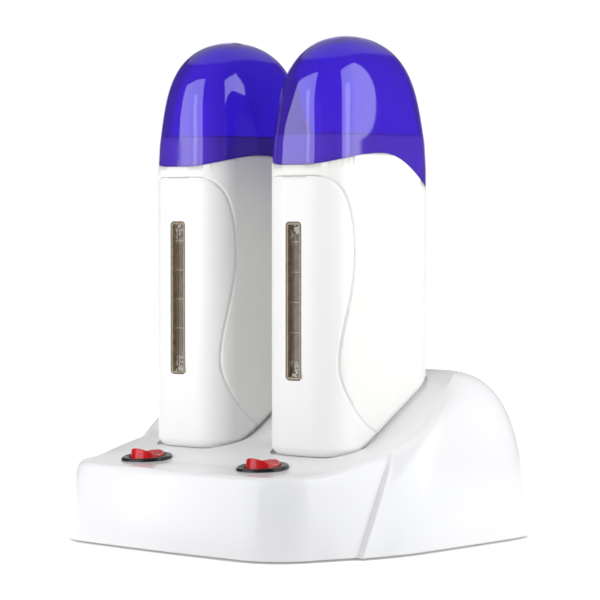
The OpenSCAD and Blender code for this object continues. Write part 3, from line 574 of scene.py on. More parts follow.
def settle(obj: Object) -> None:
    """Makes what an object's modifiers give its own mesh."""
    bpy.context.view_layer.update()
    seen = obj.evaluated_get(bpy.context.evaluated_depsgraph_get())
    mesh = bpy.data.meshes.new_from_object(seen)
    obj.modifiers.clear()
    old, obj.data = obj.data, mesh
    bpy.data.meshes.remove(old)


def combine(obj: Object, tool: BMesh, operation: str = "DIFFERENCE") -> None:
    """Cuts or joins a closed mesh with another, and keeps the result as the object's own mesh.

    Args:
        obj: the object that is changed.
        tool: the other mesh, used up here.
        operation: DIFFERENCE, UNION or INTERSECT.
    """
    other = as_object("tool", tool)
    step = obj.modifiers.new("cut", "BOOLEAN")
    step.object, step.operation, step.solver = other, operation, "EXACT"
    settle(obj)
    bpy.data.objects.remove(other)


def finished(obj: Object, finish: Finish, body: str, slot: str, *nodes: str,
             sharp: float = 35.0) -> Object:
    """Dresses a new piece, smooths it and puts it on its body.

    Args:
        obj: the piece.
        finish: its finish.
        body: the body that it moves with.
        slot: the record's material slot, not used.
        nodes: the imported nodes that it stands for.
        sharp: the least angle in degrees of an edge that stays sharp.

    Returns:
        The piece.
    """
    if obj.data.materials:
        obj.data.materials.clear()
    obj.data.materials.append(finish.material())
    obj.data.shade_smooth()
    obj.data.set_sharp_from_angle(angle=math.radians(sharp))
    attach(obj, body)
    if nodes:
        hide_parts(*nodes)
    LOG.info("%s: %d faces on %s", obj.name, len(obj.data.polygons), body)
    return obj


def dress(node: str, finish: Finish) -> None:
    """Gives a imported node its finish."""
    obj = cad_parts[node]
    for place in obj.material_slots:
        place.link = "OBJECT"
        place.material = finish.material()
    LOG.info("%s: dressed in %s", node, finish.name)


# ---- the base -----------------------------------------------------------------------------------

@dataclass
class BaseShell:
    """The base's white shell: a low front deck, a ramp, a ridge and two wings, in millimetres."""

    y0: float = 0.8
    z0: float = 1.2
    front_reach: float = 84.0
    rear_reach: float = 81.0
    wing_x: float = 88.4
    waist_x: float = 80.0
    wing_step: float = 3.5
    wing_start_y: float = -43.5
    front_x: float = 48.0
    front_bow: float = 1.4
    deck_front_h: float = 34.7
    deck_tilt: float = 2.5
    apron_tilt: float = 14.0
    side_tilt: float = 10.0
    deck_crown: float = 0.5
    ridge_h: float = 75.5
    wall: float = 2.5
    heater_x: float = 35.75
    seat_z: float = 39.5
    seat_gap: float = 0.8
    seat_sink: float = 0.6
    heel_y: float = -16.2
    ramp_angle: float = 32.5
    heater_w: float = 44.0
    heater_d: float = 71.0
    nose_r: float = 16.0
    back_r: float = 12.0
    switch_y: float = -55.0
    round_in: float = 7.0
    fine: int = 4
    levels: int = 44
    deck_cuts: int = 48
    stations: list[tuple] = field(default_factory=list)

    def __post_init__(self) -> None:
        """Lays out the stations around half of the base."""
        self.crest_y = self.rear_reach - 40
        front = ((.42, .42, .88), (.5, .5, 1))
        corner = ((.25, .3, .85), (.35, .45, 1))
        crease_line = ((.05, .36, .5), (.12, .75, .97))
        wing = ((.1, .33, .8), (.12, .66, 1))
        tail = ((.13, .13, .72), (.26, .26, 1))
        back = ((0, 0, .55), (.45, .45, 1))
        fy = -self.front_reach + self.front_bow
        knee = (self.waist_x - 7.5, 20.5 - self.front_reach)
        crease = (self.waist_x, self.wing_start_y)
        nose = (crease[0] + self.wing_step, crease[1] + .4)
        side = (self.wing_x, self.wing_start_y + 31.5)
        tail_at = (self.wing_x - 1.6, self.rear_reach - 31)
        rear_x, rr, fx, bow = self.wing_x - 30.4, self.rear_reach, self.front_x, self.front_bow
        t_front = (fx - 3, fy + self.round_in)
        t_knee = (knee[0] - 6.5, knee[1] + 4)
        t_crease = (self.waist_x - 8.5, self.wing_start_y + 30.5)
        t_nose = (t_crease[0] + .3, t_crease[1] + .4)
        t_wing = (self.wing_x - 12.4, side[1] + 16)
        t_tail = (self.wing_x - 19.4, self.crest_y - 11)
        t_rear = (self.wing_x - 31.4, self.crest_y)
        flat = -self.front_reach
        turn = (nose[0] - .7, nose[1] - .5)

        def near(p: Point, dx: float, dy: float) -> Point:
            return p[0] + dx, p[1] + dy

        def between(a: Point, b: Point, t: float) -> Point:
            return mix(a[0], b[0], t), mix(a[1], b[1], t)

        runs = (
            (((0, flat), (fx * .35, flat), (fx * .7, fy - bow * .4), (fx, fy)),
             ((0, flat + self.round_in), (fx * .3, flat + self.round_in),
              (fx * .7, fy - bow * .4 + self.round_in), t_front), front, front, 3 * self.fine),
            (((fx, fy), (fx + 12, fy + .5), near(knee, -3.5, -11.5), knee),
             (t_front, near(t_front, 12, .4), near(t_knee, -2.5, -10), t_knee), front, corner, 7 * self.fine),
            ((knee, between(knee, crease, .33), between(knee, crease, .67), crease),
             (t_knee, near(t_knee, 4, 13), near(t_crease, 2, -16), t_crease),
             corner, crease_line, 5 * self.fine),
            ((crease, crease, turn, turn), (t_crease, t_crease, t_nose, t_nose), crease_line, crease_line, 1),
            ((turn, near(nose, 0, -.5), near(nose, 0, 0), near(nose, .2, .9)),
             (t_nose, t_nose, near(t_nose, 0, .4), near(t_nose, .05, .8)), crease_line, crease_line, 4),
            ((near(nose, .2, .9), near(nose, 2, 8.6), near(side, -.2, -12), side),
             (near(t_nose, .05, .8), near(t_nose, .3, 6), near(t_wing, 0, -6), t_wing),
             crease_line, wing, 4 * self.fine),
            ((side, near(side, 0, 18), near(tail_at, .8, -20), tail_at),
             (t_wing, near(t_wing, 0, 10), near(t_tail, 1, -9), t_tail), wing, tail, 5 * self.fine),
            ((tail_at, near(tail_at, -.5, 24), (rear_x + 21, rr), (rear_x, rr)),
             (t_tail, near(t_tail, -1, 7), near(t_rear, 6, 0), t_rear), tail, back, 8 * self.fine),
            (((rear_x, rr), (rear_x * .67, rr), (rear_x * .33, rr), (0, rr)),
             (t_rear, (t_rear[0] * 2 / 3, self.crest_y), (t_rear[0] / 3, self.crest_y), (0, self.crest_y)),
             back, back, self.deck_cuts // 2),
        )
        for foot, head, line0, line1, n in runs:
            for i in range(n):
                t = i / n
                line = tuple(tuple(mix(a, b, t) for a, b in zip(p, q)) for p, q in zip(line0, line1))
                self.stations.append((bezier(foot, t), bezier(head, t), line))
        self.stations.append(((0.0, rr), (0.0, self.crest_y), back))
        self.last = len(self.stations) - 1
        self.crest = self.last - self.deck_cuts // 2

    def top(self, x: float, y: float) -> float:
        """Height of the deck, ramp or ridge over a point."""
        back = y + self.heater_d / 2 + self.seat_gap
        rise = smooth_min(back * math.tan(math.radians(self.apron_tilt)),
                          back * math.tan(math.radians(self.side_tilt)), 1.4)
        deck = smooth_max(self.deck_front_h + (y + self.front_reach - self.round_in)
                          * math.tan(math.radians(self.deck_tilt)), self.seat_z + rise, 1.4)
        ramp = self.seat_z + self.seat_sink + (y - self.heel_y) * math.tan(math.radians(self.ramp_angle))
        ridge = smooth_min(smooth_max(deck, ramp, 4), self.ridge_h, 3)
        fade = clip(1 - (y - (self.heel_y - 14)) / 40)
        return ridge - self.deck_crown * (x / 70) ** 2 * fade

    def to_station(self, bm: BMesh, side: Side) -> BMesh:
        """Moves what is drawn about a heater's middle to its station."""
        spot = Vector((side.value * self.heater_x, self.y0, self.z0)) * MM
        bmesh.ops.translate(bm, vec=spot, verts=bm.verts)
        return bm

    def _wall_point(self, around: float, up: float) -> Triple:
        """A point of the outer wall for a share of the way around and up."""
        k = round(around * 2 * self.last) % (2 * self.last)
        side = 1 if k <= self.last else -1
        foot, head, line = self.stations[k if k <= self.last else 2 * self.last - k]
        way = bezier(((0, 0, 0), line[0], line[1], (1, 1, 1)), up)
        return (side * mix(foot[0], head[0], way[0]), self.y0 + mix(foot[1], head[1], way[1]),
                self.z0 + way[2] * self.top(*head))

    def _deck_point(self, along: float, over: float) -> Triple:
        """A point of the deck for a share of the way to the crest and across."""
        _, head, _ = self.stations[round(along * self.crest)]
        x = head[0] * (1 - 2 * over)
        return x, self.y0 + head[1], self.z0 + self.top(x, head[1])

    def _seat_tool(self, side: Side) -> BMesh:
        """What a heater's seat takes out of the shell."""
        gap = self.seat_gap
        outline = rounded_box(self.heater_w + 2 * gap, self.heater_d + 2 * gap, self.nose_r + gap,
                              self.back_r + gap, 20, 6)
        bm = prism(outline, self.seat_z, 200)
        slice_at(bm, (0, self.heel_y, 0), (0, 1, 0))
        for v in bm.verts:
            if v.co.z < 0.1:
                v.co.z += max(v.co.y - self.heel_y * MM, 0) * math.tan(math.radians(self.ramp_angle))
        return self.to_station(bm, side)

    def _seat_floor(self, side: Side) -> BMesh:
        """The flat floor under the front of a seat, where the deck is cut through."""
        inset = self.seat_gap + self.wall
        outline = rounded_box(self.heater_w + 2 * inset, self.heater_d + 2 * inset, self.nose_r + inset,
                              self.back_r + inset, 16, 6)
        front = [(x, min(y, self.heel_y + 12)) for x, y in outline]
        bm = prism(front, self.seat_z - self.wall, self.seat_z + 1)
        weld(bm, 1e-6)
        for v in bm.verts:
            top = self.top(self.heater_x + v.co.x / MM, v.co.y / MM) - 0.8
            v.co.z = min(v.co.z, max(top, self.seat_z - self.wall + .2) * MM)
        return self.to_station(bm, side)

    def build(self) -> None:
        """Makes the shell, cuts its openings and dresses it."""
        bm = bmesh.new()
        grid(bm, 2 * self.last, self.levels, self._wall_point)
        grid(bm, self.crest, self.deck_cuts, self._deck_point)
        weld(bm, 2e-6)
        bmesh.ops.dissolve_degenerate(bm, edges=bm.edges, dist=1e-6)
        outward(bm)
        obj = as_object("glossy_shell", bm)
        wall = obj.modifiers.new("wall", "SOLIDIFY")
        wall.thickness, wall.offset = self.wall * MM, -1
        settle(obj)
        for side in Side:
            combine(obj, self._seat_floor(side), "UNION")
        for side in Side:
            combine(obj, self._seat_tool(side))
            hole = lathe(((0, -20), (10, -20), (10, 0), (11.6, 0), (11.6, 10), (0, 10)), 48)
            bmesh.ops.transform(hole, matrix=SwitchPlace(self, side).matrix(), verts=hole.verts)
            combine(obj, hole)
            nose = prism(((-12, 1), (12, 1), (12, 11), (-12, 11)), 30, 90)
            combine(obj, self.to_station(nose, side))
        inlet = lathe(((0, -40), (5.5, -40), (5.5, -1), (8, -1), (8, 10), (0, 10)), 48)
        at_rear = Matrix.Translation(Vector((0, self.y0 + self.rear_reach, self.z0 + 13)) * MM)
        level = Matrix.Rotation(math.radians(-90), 4, "X")
        bmesh.ops.transform(inlet, verts=inlet.verts, matrix=at_rear @ level)
        combine(obj, inlet)
        finished(obj, GLOSS_WHITE, "base", "white_shell", "base_shell", sharp=28)


@dataclass
class SwitchPlace:
    """Where a switch sits in the deck."""

    shell: BaseShell
    side: Side
    sunk: float = 0.3

    def matrix(self) -> Matrix:
        """Turns what is drawn upright over its hole onto the sloped deck."""
        s = self.shell
        y = s.switch_y
        tilt = math.atan(s.top(0, y + .5) - s.top(0, y - .5))
        at = Vector((self.side.value * s.heater_x, s.y0 + y, s.z0 + s.top(s.heater_x, y) - self.sunk)) * MM
        return Matrix.Translation(at) @ Matrix.Rotation(tilt, 4, "X")


@dataclass
class RockerSwitch:
    """A round switch: black bezel and barrel, and a red rocker with a V-shaped top."""

    place: SwitchPlace
    bezel_r: float = 11.5
    bezel_h: float = 2.0
    pocket_r: float = 8.1
    rocker_r: float = 7.4
    rise: float = 4.9
    valley: float = 1.9
    swing: float = 21.0
    edge: float = 0.64

    def _housing(self) -> BMesh:
        """The bezel, its lip around the pocket and the barrel."""
        r, h, p = self.bezel_r, self.bezel_h, self.pocket_r
        edge = [(r - 1.1 + 1.1 * math.cos(math.radians(a)), h - 1.1 + 1.1 * math.sin(math.radians(a)))
                for a in range(0, 91, 15)]
        lip = [(p + .5 - .5 * math.sin(math.radians(a)), h - .75 + .5 * math.cos(math.radians(a)))
               for a in range(0, 91, 30)]
        profile = [(9.9, -16), (9.9, 0), (r, 0)] + edge + [(p + 1.6, h), (p + 1.1, h - .25)] + lip
        profile += [(p, -9), (0, -9)]
        bm = lathe(profile + [(0, -9)])
        join(bm, lathe(((9.9, -16), (0, -16))))
        weld(bm, 1e-6)
        outward(bm)
        return bm

    def _top(self, x: float, y: float) -> float:
        """Height of the rocker's dished top over a point."""
        run = abs(y) / self.rocker_r
        v = self.valley + (self.rise - self.valley) * smooth_max(run, .12, .3)
        return v - .25 * (1 - (x / self.rocker_r) ** 2) * clip(1 - run)

    def _rocker(self) -> BMesh:
        """The red rocker, its top edge rounded."""
        bm = bmesh.new()
        bmesh.ops.create_circle(bm, cap_ends=True, radius=self.rocker_r * MM, segments=72)
        face = bm.faces[:][0]
        lower = bmesh.ops.extrude_face_region(bm, geom=[face])["geom"]
        bmesh.ops.translate(bm, vec=(0, 0, -4 * MM), verts=points_of(lower))
        top = max(bm.faces, key=lambda f: f.calc_center_median().z)
        for width in (.1, .14, .18, .22, .8, 1.2, 1.4, 1.4, 1.0):
            bmesh.ops.inset_region(bm, faces=[top], thickness=width * MM, use_even_offset=True)
        bmesh.ops.poke(bm, faces=[top])
        for v in bm.verts:
            if v.co.z > -2 * MM:
                x, y = v.co.x / MM, v.co.y / MM
                near = clip((self.rocker_r - math.hypot(x, y)) / self.edge)
                v.co.z = (self._top(x, y) - self.edge * (1 - math.sqrt(1 - (1 - near) ** 2))) * MM
        outward(bm)
        return bm

    def build(self) -> None:
        """Makes the housing and the rocker."""
        side, matrix = self.place.side, self.place.matrix()
        bm = self._housing()
        bmesh.ops.transform(bm, matrix=matrix, verts=bm.verts)
        finished(as_object(side.named("round_bezel"), bm), BEZEL_BLACK, "base", "black_switch",
                 side.named("switch_housing"), sharp=40)
        bm = self._rocker()
        turn = Matrix.Translation((0, 0, .1 * MM)) @ Matrix.Rotation(math.radians(-self.swing / 2), 4, "X")
        bmesh.ops.transform(bm, matrix=matrix @ turn, verts=bm.verts)
        finished(as_object(side.named("red_rocker"), bm), ROCKER_RED, side.named("rocker"), "red_rocker",
                 side.named("rocker"), sharp=50)


# ---- the heaters ---------------------------------------------------------------------------------

@dataclass
class Cap:
    """A violet see-through cap over the cartridge's roller, in millimetres."""

    side: Side
    shell: BaseShell
    seat_z: float = 39.5
    height: float = 185.0
    rim_front: float = 127.2
    rim_side: float = 132.5
    rim_back: float = 115.5
    wall: float = 1.6
    gap: float = 0.3
    rings: int = 72
    gate: float = 4.5

    def _rim(self) -> list[Point]:
        """The cap's wavy lower edge as (y, z) points."""
        n, front = 30, self.seat_z + self.rim_front
        side, back = self.seat_z + self.rim_side, self.seat_z + self.rim_back
        d = -self.shell.heater_d / 2
        first = ((d, front), (.79 * d, front + 2.8), (.39 * d, side), (.09 * d, side))
        second = ((.09 * d, side), (-.48 * d, side + 1), (-.7 * d, back + 1), (-d, back))
        return [bezier(first, i / n) for i in range(n)] + [bezier(second, i / n) for i in range(n + 1)]

    def _rim_z(self, rim: Sequence[Point], y: float) -> float:
        """Height of the lower edge over y."""
        for (y0, z0), (y1, z1) in zip(rim, rim[1:]):
            if y <= y1:
                return mix(z0, z1, clip((y - y0) / (y1 - y0)))
        return rim[-1][1]

    def _skin(self, bm: BMesh, inset: float) -> None:
        """Adds the dome's outer or inner face."""
        s = self.shell
        w, d = s.heater_w / 2 - inset, s.heater_d / 2 - inset
        plan = rounded_box(2 * w, 2 * d, s.nose_r - inset, s.back_r - inset, 22, 26, 8)
        rim, top = self._rim(), self.seat_z + self.height - inset
        low = self.seat_z + self.rim_front - 1.5
        heights = [self._rim_z(rim, y) + self.gap for _, y in plan]

        def place(around: float, up: float) -> Triple:
            k = round(around * len(plan)) % len(plan)
            x, y = plan[k]
            z = mix(heights[k], top, math.sin(math.radians(90 * up)))
            h = clip((z - low) / (top - low))
            a = math.atan2(y / d, x / w)
            share = .66 * clip((h - .2) / .8)
            close = (1 - .09 * h) * math.sqrt(max(1 - h ** 5, 0))
            return (self.side.value * s.heater_x + mix(x, w * math.cos(a), share) * close,
                    s.y0 + mix(y, d * math.sin(a), share) * close, s.z0 + z)

        grid(bm, len(plan), self.rings, place)

    def build(self) -> None:
        """Makes the cap with its wall."""
        bm = bmesh.new()
        self._skin(bm, 0)
        self._skin(bm, self.wall)
        weld(bm, 2e-6)
        bmesh.ops.bridge_loops(bm, edges=[e for e in bm.edges if e.is_boundary])
        outward(bm)
        obj = as_object(self.side.named("violet_cap"), bm)
        top = self.seat_z + self.height
        mark = lathe(((0, top - 1.0), (2.6, top - 1.0), (3.1, top + 3), (0, top + 3)), 40)
        bmesh.ops.translate(mark, verts=mark.verts, vec=Vector(
            (self.side.value * (self.shell.heater_x - self.gate), self.shell.y0 - 1, self.shell.z0)) * MM)
        combine(obj, mark)
        finished(obj, CAP_VIOLET, self.side.named("cap"), "violet_cap",
                 self.side.named("cap"), sharp=45)


@dataclass
class Heater:
    """A hand-held heater: casing, front cover with its S-shaped seam, window and insides."""

    side: Side
    shell: BaseShell
    seam_gap: float = 0.35
    hair: float = 0.06
    groove_r: float = 1.1
    groove_lift: float = 0.5
    cover_h: float = 122.2
    waist: Point = (15.5, 88.53)
    hip: Point = (7.7, 40.45)
    seam_end: float = 13.2
    cuts: tuple[int, int, int] = (46, 186, 7)
    flat_weight: int = 80
    spare: float = 0.06
    toe: float = 4.6
    slot_w: float = 9.4
    slot_h: float = 69.4
    slot_z: float = 72.8
    slot_r: float = 1.9
    dish: float = 1.6
    pitch: float = 13.2

    def _envelope(self) -> BMesh:
        """The heater's outside with its sole rounded all round, a hair larger than the casing."""
        s, g, low, a = self.shell, self.spare, self.shell.seat_z - .02, math.radians(self.shell.ramp_angle)
        outline = rounded_box(s.heater_w + 2 * g, s.heater_d + 2 * g, s.nose_r + g, s.back_r + g, 26, 1, 1)
        bm = prism(outline, low, 190)
        slice_at(bm, (0, s.heel_y, low), (0, math.sin(a), -math.cos(a)), clear=True)
        bmesh.ops.holes_fill(bm, edges=[e for e in bm.edges if e.is_boundary])
        outward(bm)
        rim = [e for e in bm.edges if len(e.link_faces) == 2 and
               sorted(f.normal.z < -.5 for f in e.link_faces) == [False, True]]
        bmesh.ops.bevel(bm, geom=rim, offset=self.toe * MM, offset_type="OFFSET", affect="EDGES", segments=8,
                        profile=0.5, material=-1, clamp_overlap=True)
        outward(bm)
        return self.shell.to_station(bm, self.side)

    def _front(self, outline: Sequence[Point], near: float, far: float) -> BMesh:
        """An (x, height) outline raised from the front face inwards, near and far in millimetres."""
        bm = prism(outline, near - self.shell.heater_d / 2, far - self.shell.heater_d / 2)
        for v in bm.verts:
            v.co = Vector((v.co.x, v.co.z, v.co.y))
        outward(bm)
        return self.shell.to_station(bm, self.side)

    def _tidy(self, obj: Object) -> None:
        """Merges a cut moulding's flat faces, then parts them at even heights so that they shade evenly."""
        bm = bmesh.new()
        bm.from_mesh(obj.data)
        merge_flat(bm, 4e-6)
        for z in range(*self.cuts):
            slice_at(bm, (0, 0, z), (0, 0, 1))
        bm.to_mesh(obj.data)
        bm.free()

    def _close_seam(self, obj: Object) -> None:
        """Grows the cover's edge across the seam, so that only a hair is left before the casing."""
        bm = bmesh.new()
        bm.from_mesh(obj.data)
        casing = copied(self.side.named("casing"))
        tree = BVHTree.FromBMesh(casing)
        casing.free()
        for v in bm.verts:
            spot, _, _, distance = tree.find_nearest(v.co, (self.seam_gap + .15) * MM)
            if spot is not None and distance > .15 * MM:
                v.co = v.co.lerp(spot, 1 - self.hair * MM / distance)
        bm.to_mesh(obj.data)
        bm.free()

    def _groove(self) -> BMesh:
        """A rod that follows the seam just off the heater's face, up one side, over the front and down."""
        s = self.shell
        w, nose, r, top = s.heater_w / 2, -s.heater_d / 2, s.nose_r, s.seat_z + self.cover_h
        waist = (nose + self.waist[0], s.seat_z + self.waist[1])
        hip = (nose + self.hip[0], s.seat_z + self.hip[1])
        end = self.seam_end
        foot = (s.heel_y + end, s.seat_z + end * math.tan(math.radians(s.ramp_angle)))
        bends = (((nose, top), (nose + 9.5, top), (waist[0], waist[1] + 17), waist),
                 (waist, (waist[0], waist[1] - 16), (hip[0], hip[1] + 16), hip),
                 (hip, (hip[0], hip[1] - 14), (foot[0] - 13, foot[1] + 5.5), foot))
        half = [bezier(bends[0], (i / 40) ** 2) for i in range(40)]
        half += [bezier(bend, i / 24) for bend in bends[1:] for i in range(24)]
        half += [foot, (foot[0] + 3, foot[1] - 8)]
        path = []
        for y, z in half:
            in_y = min(y - nose - r, 0.0)
            out = Vector((math.sqrt(r * r - in_y * in_y), in_y)) / r
            path.append(Vector((w - r + out.x * (r + self.groove_lift),
                                y + out.y * self.groove_lift, z + self.seam_gap / 2)))
        path = path[::-1] + [Vector((-v.x, v.y, v.z)) for v in path]
        curve = bpy.data.curves.new("groove", "CURVE")
        curve.dimensions, curve.bevel_depth, curve.bevel_resolution = "3D", self.groove_r * MM, 3
        curve.use_fill_caps = True
        line = curve.splines.new("POLY")
        line.points.add(len(path) - 1)
        for spot, v in zip(line.points, path):
            spot.co = (*(v * MM), 1)
        rod = bpy.data.objects.new("groove", curve)
        bm = bmesh.new()
        bm.from_mesh(rod.to_mesh())
        rod.to_mesh_clear()
        bpy.data.objects.remove(rod)
        bpy.data.curves.remove(curve)
        weld(bm, 1e-7)
        outward(bm)
        return self.shell.to_station(bm, self.side)

    def _slot_corners(self) -> list[BMesh]:
        """The fillets in the corners of the window's slot."""
        w, r, made = self.slot_w / 2, self.slot_r, []
        for sx, edge, sz in ((1, self.slot_z, 1), (-1, self.slot_z, 1), (1, self.slot_z + self.slot_h, -1),
                             (-1, self.slot_z + self.slot_h, -1)):
            arc = [(sx * (w - r + r * math.sin(math.radians(t))),
                    edge + sz * (r - r * math.cos(math.radians(t)))) for t in range(0, 91, 15)]
            made.append(self._front(arc + [(sx * (w + .2), edge + sz * r), (sx * (w + .2), edge - sz * .2),
                                           (sx * (w - r), edge - sz * .2)], 0, 1.8))
        return made

    def _window(self) -> None:
        """The lens, dished inside its dark edge and its rim, and the level lines and rib on it."""
        body, w, h = self.side.named("heater"), self.slot_w - .1, self.slot_h - .1
        outline = [(x, y + self.slot_z + self.slot_h / 2)
                   for x, y in rounded_box(w, h, self.slot_r, self.slot_r, 6, 1, 1)]
        bm = self._front(outline, .35, 3)
        front = min(bm.faces, key=lambda f: f.calc_center_median().y)
        plain = set(bm.faces)
        for n, (thickness, depth) in enumerate(((.36, 0), (.12, .25), (.85, 0), (.15, -self.dish))):
            bmesh.ops.inset_region(bm, faces=[front], thickness=thickness * MM, depth=depth * MM,
                                   use_even_offset=True)
            if n == 0:
                for face in set(bm.faces) - plain:
                    face.material_index = 2
        front.material_index = 1
        outward(bm)
        obj = as_object(self.side.named("window_pane"), bm)
        finished(obj, LENS_RIM, body, "smoky_lens", self.side.named("window_lens"), sharp=25)
        obj.data.materials.append(LENS_SMOKE.material())
        obj.data.materials.append(LENS_EDGE.material())
        low, reach = self.slot_z + 1, w / 2 - 1.5
        bars = [((-reach, z), (reach, z + .3)) for z in
                (low + self.pitch * (n + .5) for n in range(int((self.slot_h - 2) / self.pitch)))]
        self._bars("level_lines", LENS_LINE, bars)
        rib = ((-reach * .5, low + 2), (.4 - reach * .5, low + self.slot_h - 4))
        self._bars("sight_ribs", LENS_EDGE, [rib])

    def _bars(self, stem: str, finish: Finish, bars: Sequence[tuple[Point, Point]]) -> None:
        """Adds fine ribs on the lens, each given by two corners (x, height)."""
        bm = bmesh.new()
        for (x0, z0), (x1, z1) in bars:
            outline = [(x0, z0), (x1, z0), (x1, z1), (x0, z1)]
            join(bm, self._front(outline, self.dish - .1, self.dish + .3))
        finished(as_object(self.side.named(stem), bm), finish, self.side.named("heater"), "smoky_lens")

    def build(self) -> None:
        """Rounds the sole, cuts the seam's groove, adds the window and dresses every piece."""
        body = self.side.named("heater")
        for stem, finish, slot in (("casing", CASE_WHITE, "white_casing"),
                                   ("front_cover", COVER_WHITE, "white_cover")):
            obj = as_object(self.side.named("moulded_" + stem), copied(self.side.named(stem)))
            combine(obj, self._envelope(), "INTERSECT")
            if stem == "front_cover":
                for fillet in self._slot_corners():
                    combine(obj, fillet, "UNION")
            self._tidy(obj)
            combine(obj, self._groove())
            if stem == "front_cover":
                self._close_seam(obj)
            finished(obj, finish, body, slot, self.side.named(stem), sharp=30)
            even = obj.modifiers.new("even", "WEIGHTED_NORMAL")
            even.keep_sharp, even.weight = True, self.flat_weight
        self._window()
        for stem, finish in (("wax_well", DRAWN_ALUMINIUM), ("guide_ring", COLLAR_WHITE),
                             ("heating_element", CERAMIC), ("element_strap", ZINC),
                             ("thermal_cutout", BLOCK_BLACK), ("socket_block", BLOCK_BLACK),
                             ("contact_sleeves", BRASS), ("heater_wires", WIRE_RED), ("cover_screws", ZINC)):
            dress(self.side.named(stem), finish)


@dataclass
class Underside:
    """What the base holds inside and below: floor, feet, screws, terminals and wires."""

    def build(self) -> None:
        """Dresses every piece."""
        for node, finish in (("base_plate", FLOOR_WHITE), ("feet", FOOT_RUBBER), ("base_screws", ZINC),
                             ("cord_gland", FOOT_RUBBER), ("terminal_block", IVORY),
                             ("terminal_screws", ZINC), ("mains_wires", WIRE_BROWN)):
            dress(node, finish)
        for side in Side:
            for stem, finish in (("switch_terminals", BRASS), ("pin_block", BLOCK_BLACK),
                                 ("contact_pins", BRASS), ("switch_wires", WIRE_BLUE)):
                dress(side.named(stem), finish)


# ---- the studio ----------------------------------------------------------------------------------

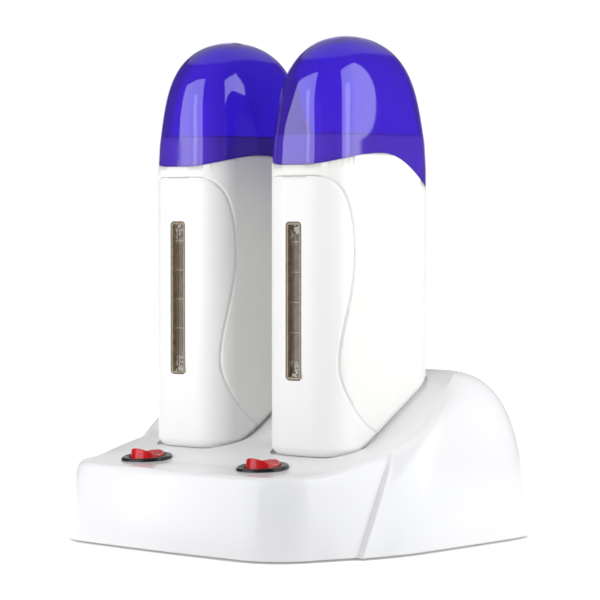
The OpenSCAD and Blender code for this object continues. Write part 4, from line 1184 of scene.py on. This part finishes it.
@dataclass
class Studio:
    """A pale sweep, two tall softboxes with hot spots, four fills and the camera."""

    azimuth: float = 42.71
    pitch: float = 1.835
    focal: float = 160.48
    room: float = 0.27
    panels: float = 1.9
    through: float = 0.25
    floor_light: float = 0.82
    painted_shadow_level: float = 0.3
    contact: float = 0.02
    room_tint: Colour = (0.97, 0.98, 1)
    ceiling_way: Triple = (-0.28, 0.38, 0.88)
    ceiling_light: float = 0.42
    ceiling_dark: float = 0.06
    backdrop_way: Triple = (-0.678, 0.735, 0.0)
    hot_spots: tuple[Triple, ...] = ((0.075, 0.15, 1.2), (0.045, 0.1, 1.8), (0.02, 0.06, 3.5))
    camera_at: Triple = (0.82755, -0.88821, 0.14655)

    def camera(self) -> None:
        """Sets the camera at the photograph's angle."""
        data = bpy.data.cameras.new("camera")
        data.lens, data.sensor_width = self.focal, 36.0
        data.clip_start, data.clip_end = 0.05, 50.0
        obj = bpy.data.objects.new("camera", data)
        obj.location = self.camera_at
        obj.rotation_euler = (math.radians(90 - self.pitch), 0, math.radians(self.azimuth))
        bpy.context.scene.collection.objects.link(obj)
        bpy.context.scene.camera = obj

    def panel(self, name: str, facing: float, distance: float, span: Point, heights: Point, level: float,
              in_gloss: bool = True) -> None:
        """Stands a lit panel upright beside the object.

        Args:
            name: the lamp's name.
            facing: bearing of the panel's plane in degrees, from -Y towards +X.
            distance: how far the plane stands from the middle, in metres.
            span: where the panel starts and ends along its plane, in metres.
            heights: its lower and upper edge in metres.
            level: how bright its face is, where 1 is white.
            in_gloss: whether polished faces mirror it.
        """
        data = bpy.data.lights.new(name, "AREA")
        data.shape, data.size, data.size_y = "RECTANGLE", span[1] - span[0], heights[1] - heights[0]
        data.energy = level * math.pi * data.size * data.size_y
        obj = bpy.data.objects.new(name, data)
        a = math.radians(facing)
        toward = Vector((math.sin(a), -math.cos(a), 0))
        obj.location = (toward * distance + Vector((math.cos(a), math.sin(a), 0)) * sum(span) / 2
                        + Vector((0, 0, sum(heights) / 2)))
        obj.rotation_euler = (-toward).to_track_quat("-Z", "Y").to_euler()
        obj.visible_glossy = in_gloss
        bpy.context.scene.collection.objects.link(obj)

    def sweep(self) -> None:
        """Lays the pale floor, white to the camera but for the object's soft shadow, partly painted: ambient
        occlusion dims its glow near the object.
        """
        bm = bmesh.new()
        bmesh.ops.create_grid(bm, x_segments=1, y_segments=1, size=4)
        floor = as_object("pale_floor", bm)
        mat = bpy.data.materials.new("pale_floor")
        mat.use_nodes = True
        tree = mat.node_tree
        plain = tree.nodes["Principled BSDF"]
        plain.inputs["Base Color"].default_value = (0.8, 0.8, 0.8, 1)
        plain.inputs["Roughness"].default_value = 0.9
        plain.inputs["Specular IOR Level"].default_value = 0.1
        # Ambient occlusion dims the floor's glow near the object: a painted contact shadow over its real one.
        near = add(tree, "AmbientOcclusion", Distance=self.contact)
        near.samples = 12
        lift = add(tree, "MapRange", From_Min=0.35, To_Min=self.painted_shadow_level, To_Max=self.floor_light)
        bright, path = add(tree, "Emission", Color=(1, 1, 1, 1)), add(tree, "LightPath")
        mirrored, seen = add(tree, "Math", "MAXIMUM"), add(tree, "Math", "MAXIMUM")
        both, pick = add(tree, "AddShader"), add(tree, "MixShader")
        wire(tree, (near, "AO", lift, "Value"), (lift, "Result", bright, "Strength"),
             (path, "Is Camera Ray", mirrored, 0), (path, "Is Glossy Ray", mirrored, 1),
             (mirrored, 0, seen, 0), (path, "Is Transmission Ray", seen, 1), (plain, 0, both, 0),
             (bright, 0, both, 1), (seen, 0, pick, 0), (plain, 0, pick, 1), (both, 0, pick, 2),
             (pick, 0, tree.nodes["Material Output"], "Surface"))
        floor.data.materials.append(mat)

    def world(self) -> None:
        """An even room light, white to the camera, dimmer through the caps, with a pale ceiling in gloss."""
        world = bpy.data.worlds.new("room")
        world.use_nodes = True
        bpy.context.scene.world = world
        tree = world.node_tree
        room = tree.nodes["Background"]
        room.inputs["Color"].default_value = (*self.room_tint, 1)
        room.inputs["Strength"].default_value = self.room
        white = add(tree, "Background", Color=(1, 1, 1, 1), Strength=1.0)
        ceiling, place = add(tree, "Background"), add(tree, "TexCoord")
        over, behind = add(tree, "VectorMath", "DOT_PRODUCT"), add(tree, "VectorMath", "DOT_PRODUCT")
        over.inputs[1].default_value = self.ceiling_way
        behind.inputs[1].default_value = self.backdrop_way
        height = add(tree, "MapRange", From_Min=0.76, From_Max=0.80,
                     To_Min=self.ceiling_dark, To_Max=self.ceiling_light)
        backdrop = add(tree, "MapRange", From_Min=0.88, From_Max=0.96)
        level, path = add(tree, "Math", "MAXIMUM"), add(tree, "LightPath")
        passed, seen = add(tree, "Math", "MULTIPLY"), add(tree, "Math", "MAXIMUM")
        passed.inputs[1].default_value = self.through
        gloss, pick = add(tree, "MixShader"), add(tree, "MixShader")
        wire(tree, (place, "Generated", over, 0), (place, "Generated", behind, 0),
             (over, "Value", height, "Value"), (behind, "Value", backdrop, "Value"),
             (height, "Result", level, 0), (backdrop, "Result", level, 1),
             (level, 0, ceiling, "Strength"), (path, "Is Camera Ray", seen, 0),
             (path, "Is Transmission Ray", passed, 0), (passed, 0, seen, 1),
             (path, "Is Glossy Ray", gloss, 0), (room, 0, gloss, 1), (ceiling, 0, gloss, 2),
             (seen, 0, pick, 0), (gloss, 0, pick, 1), (white, 0, pick, 2),
             (pick, 0, tree.nodes["World Output"], "Surface"))

    def build(self) -> None:
        """Sets up camera, floor, room light and lamps."""
        self.camera()
        self.sweep()
        self.world()
        self.panel("front_panel", 16, 0.271, (-0.50, -0.045), (0.02, 0.49), self.panels)
        self.panel("side_panel", 92, 0.31, (-0.053, 0.252), (0.02, 0.49), self.panels)
        for n, (wide, high, level) in enumerate(self.hot_spots):
            for name, facing, distance, middle in (("front", 16, 0.255, -0.17), ("side", 92, 0.295, 0.035)):
                self.panel(f"{name}_bulb_{n}", facing, distance, (middle - wide / 2, middle + wide / 2),
                           (0.26 - high / 2, 0.26 + high / 2), level)
        self.panel("camera_fill", self.azimuth, 1.3, (-0.3, 0.3), (0.3, 0.9), 1.0, False)
        self.panel("front_fill", 12, 1.3, (-0.3, 0.3), (0.2, 0.8), 2.5, False)
        self.panel("rear_fill", 215, 1.3, (-0.4, 0.4), (0.2, 0.9), 1.8, False)
        self.panel("right_fill", 85, 1.0, (-0.2, 0.4), (0.05, 0.6), 1.1, False)
        bpy.context.scene.view_settings.view_transform = "Standard"


def main() -> None:
    """Builds the studio, the base, the switches, the heaters and the caps."""
    logging.basicConfig(level=logging.INFO, format="%(name)s: %(message)s")
    Studio().build()
    shell = BaseShell()
    shell.build()
    Underside().build()
    for side in Side:
        RockerSwitch(SwitchPlace(shell, side)).build()
        Heater(side, shell).build()
        Cap(side, shell).build()


if __name__ == "__main__":
    main()
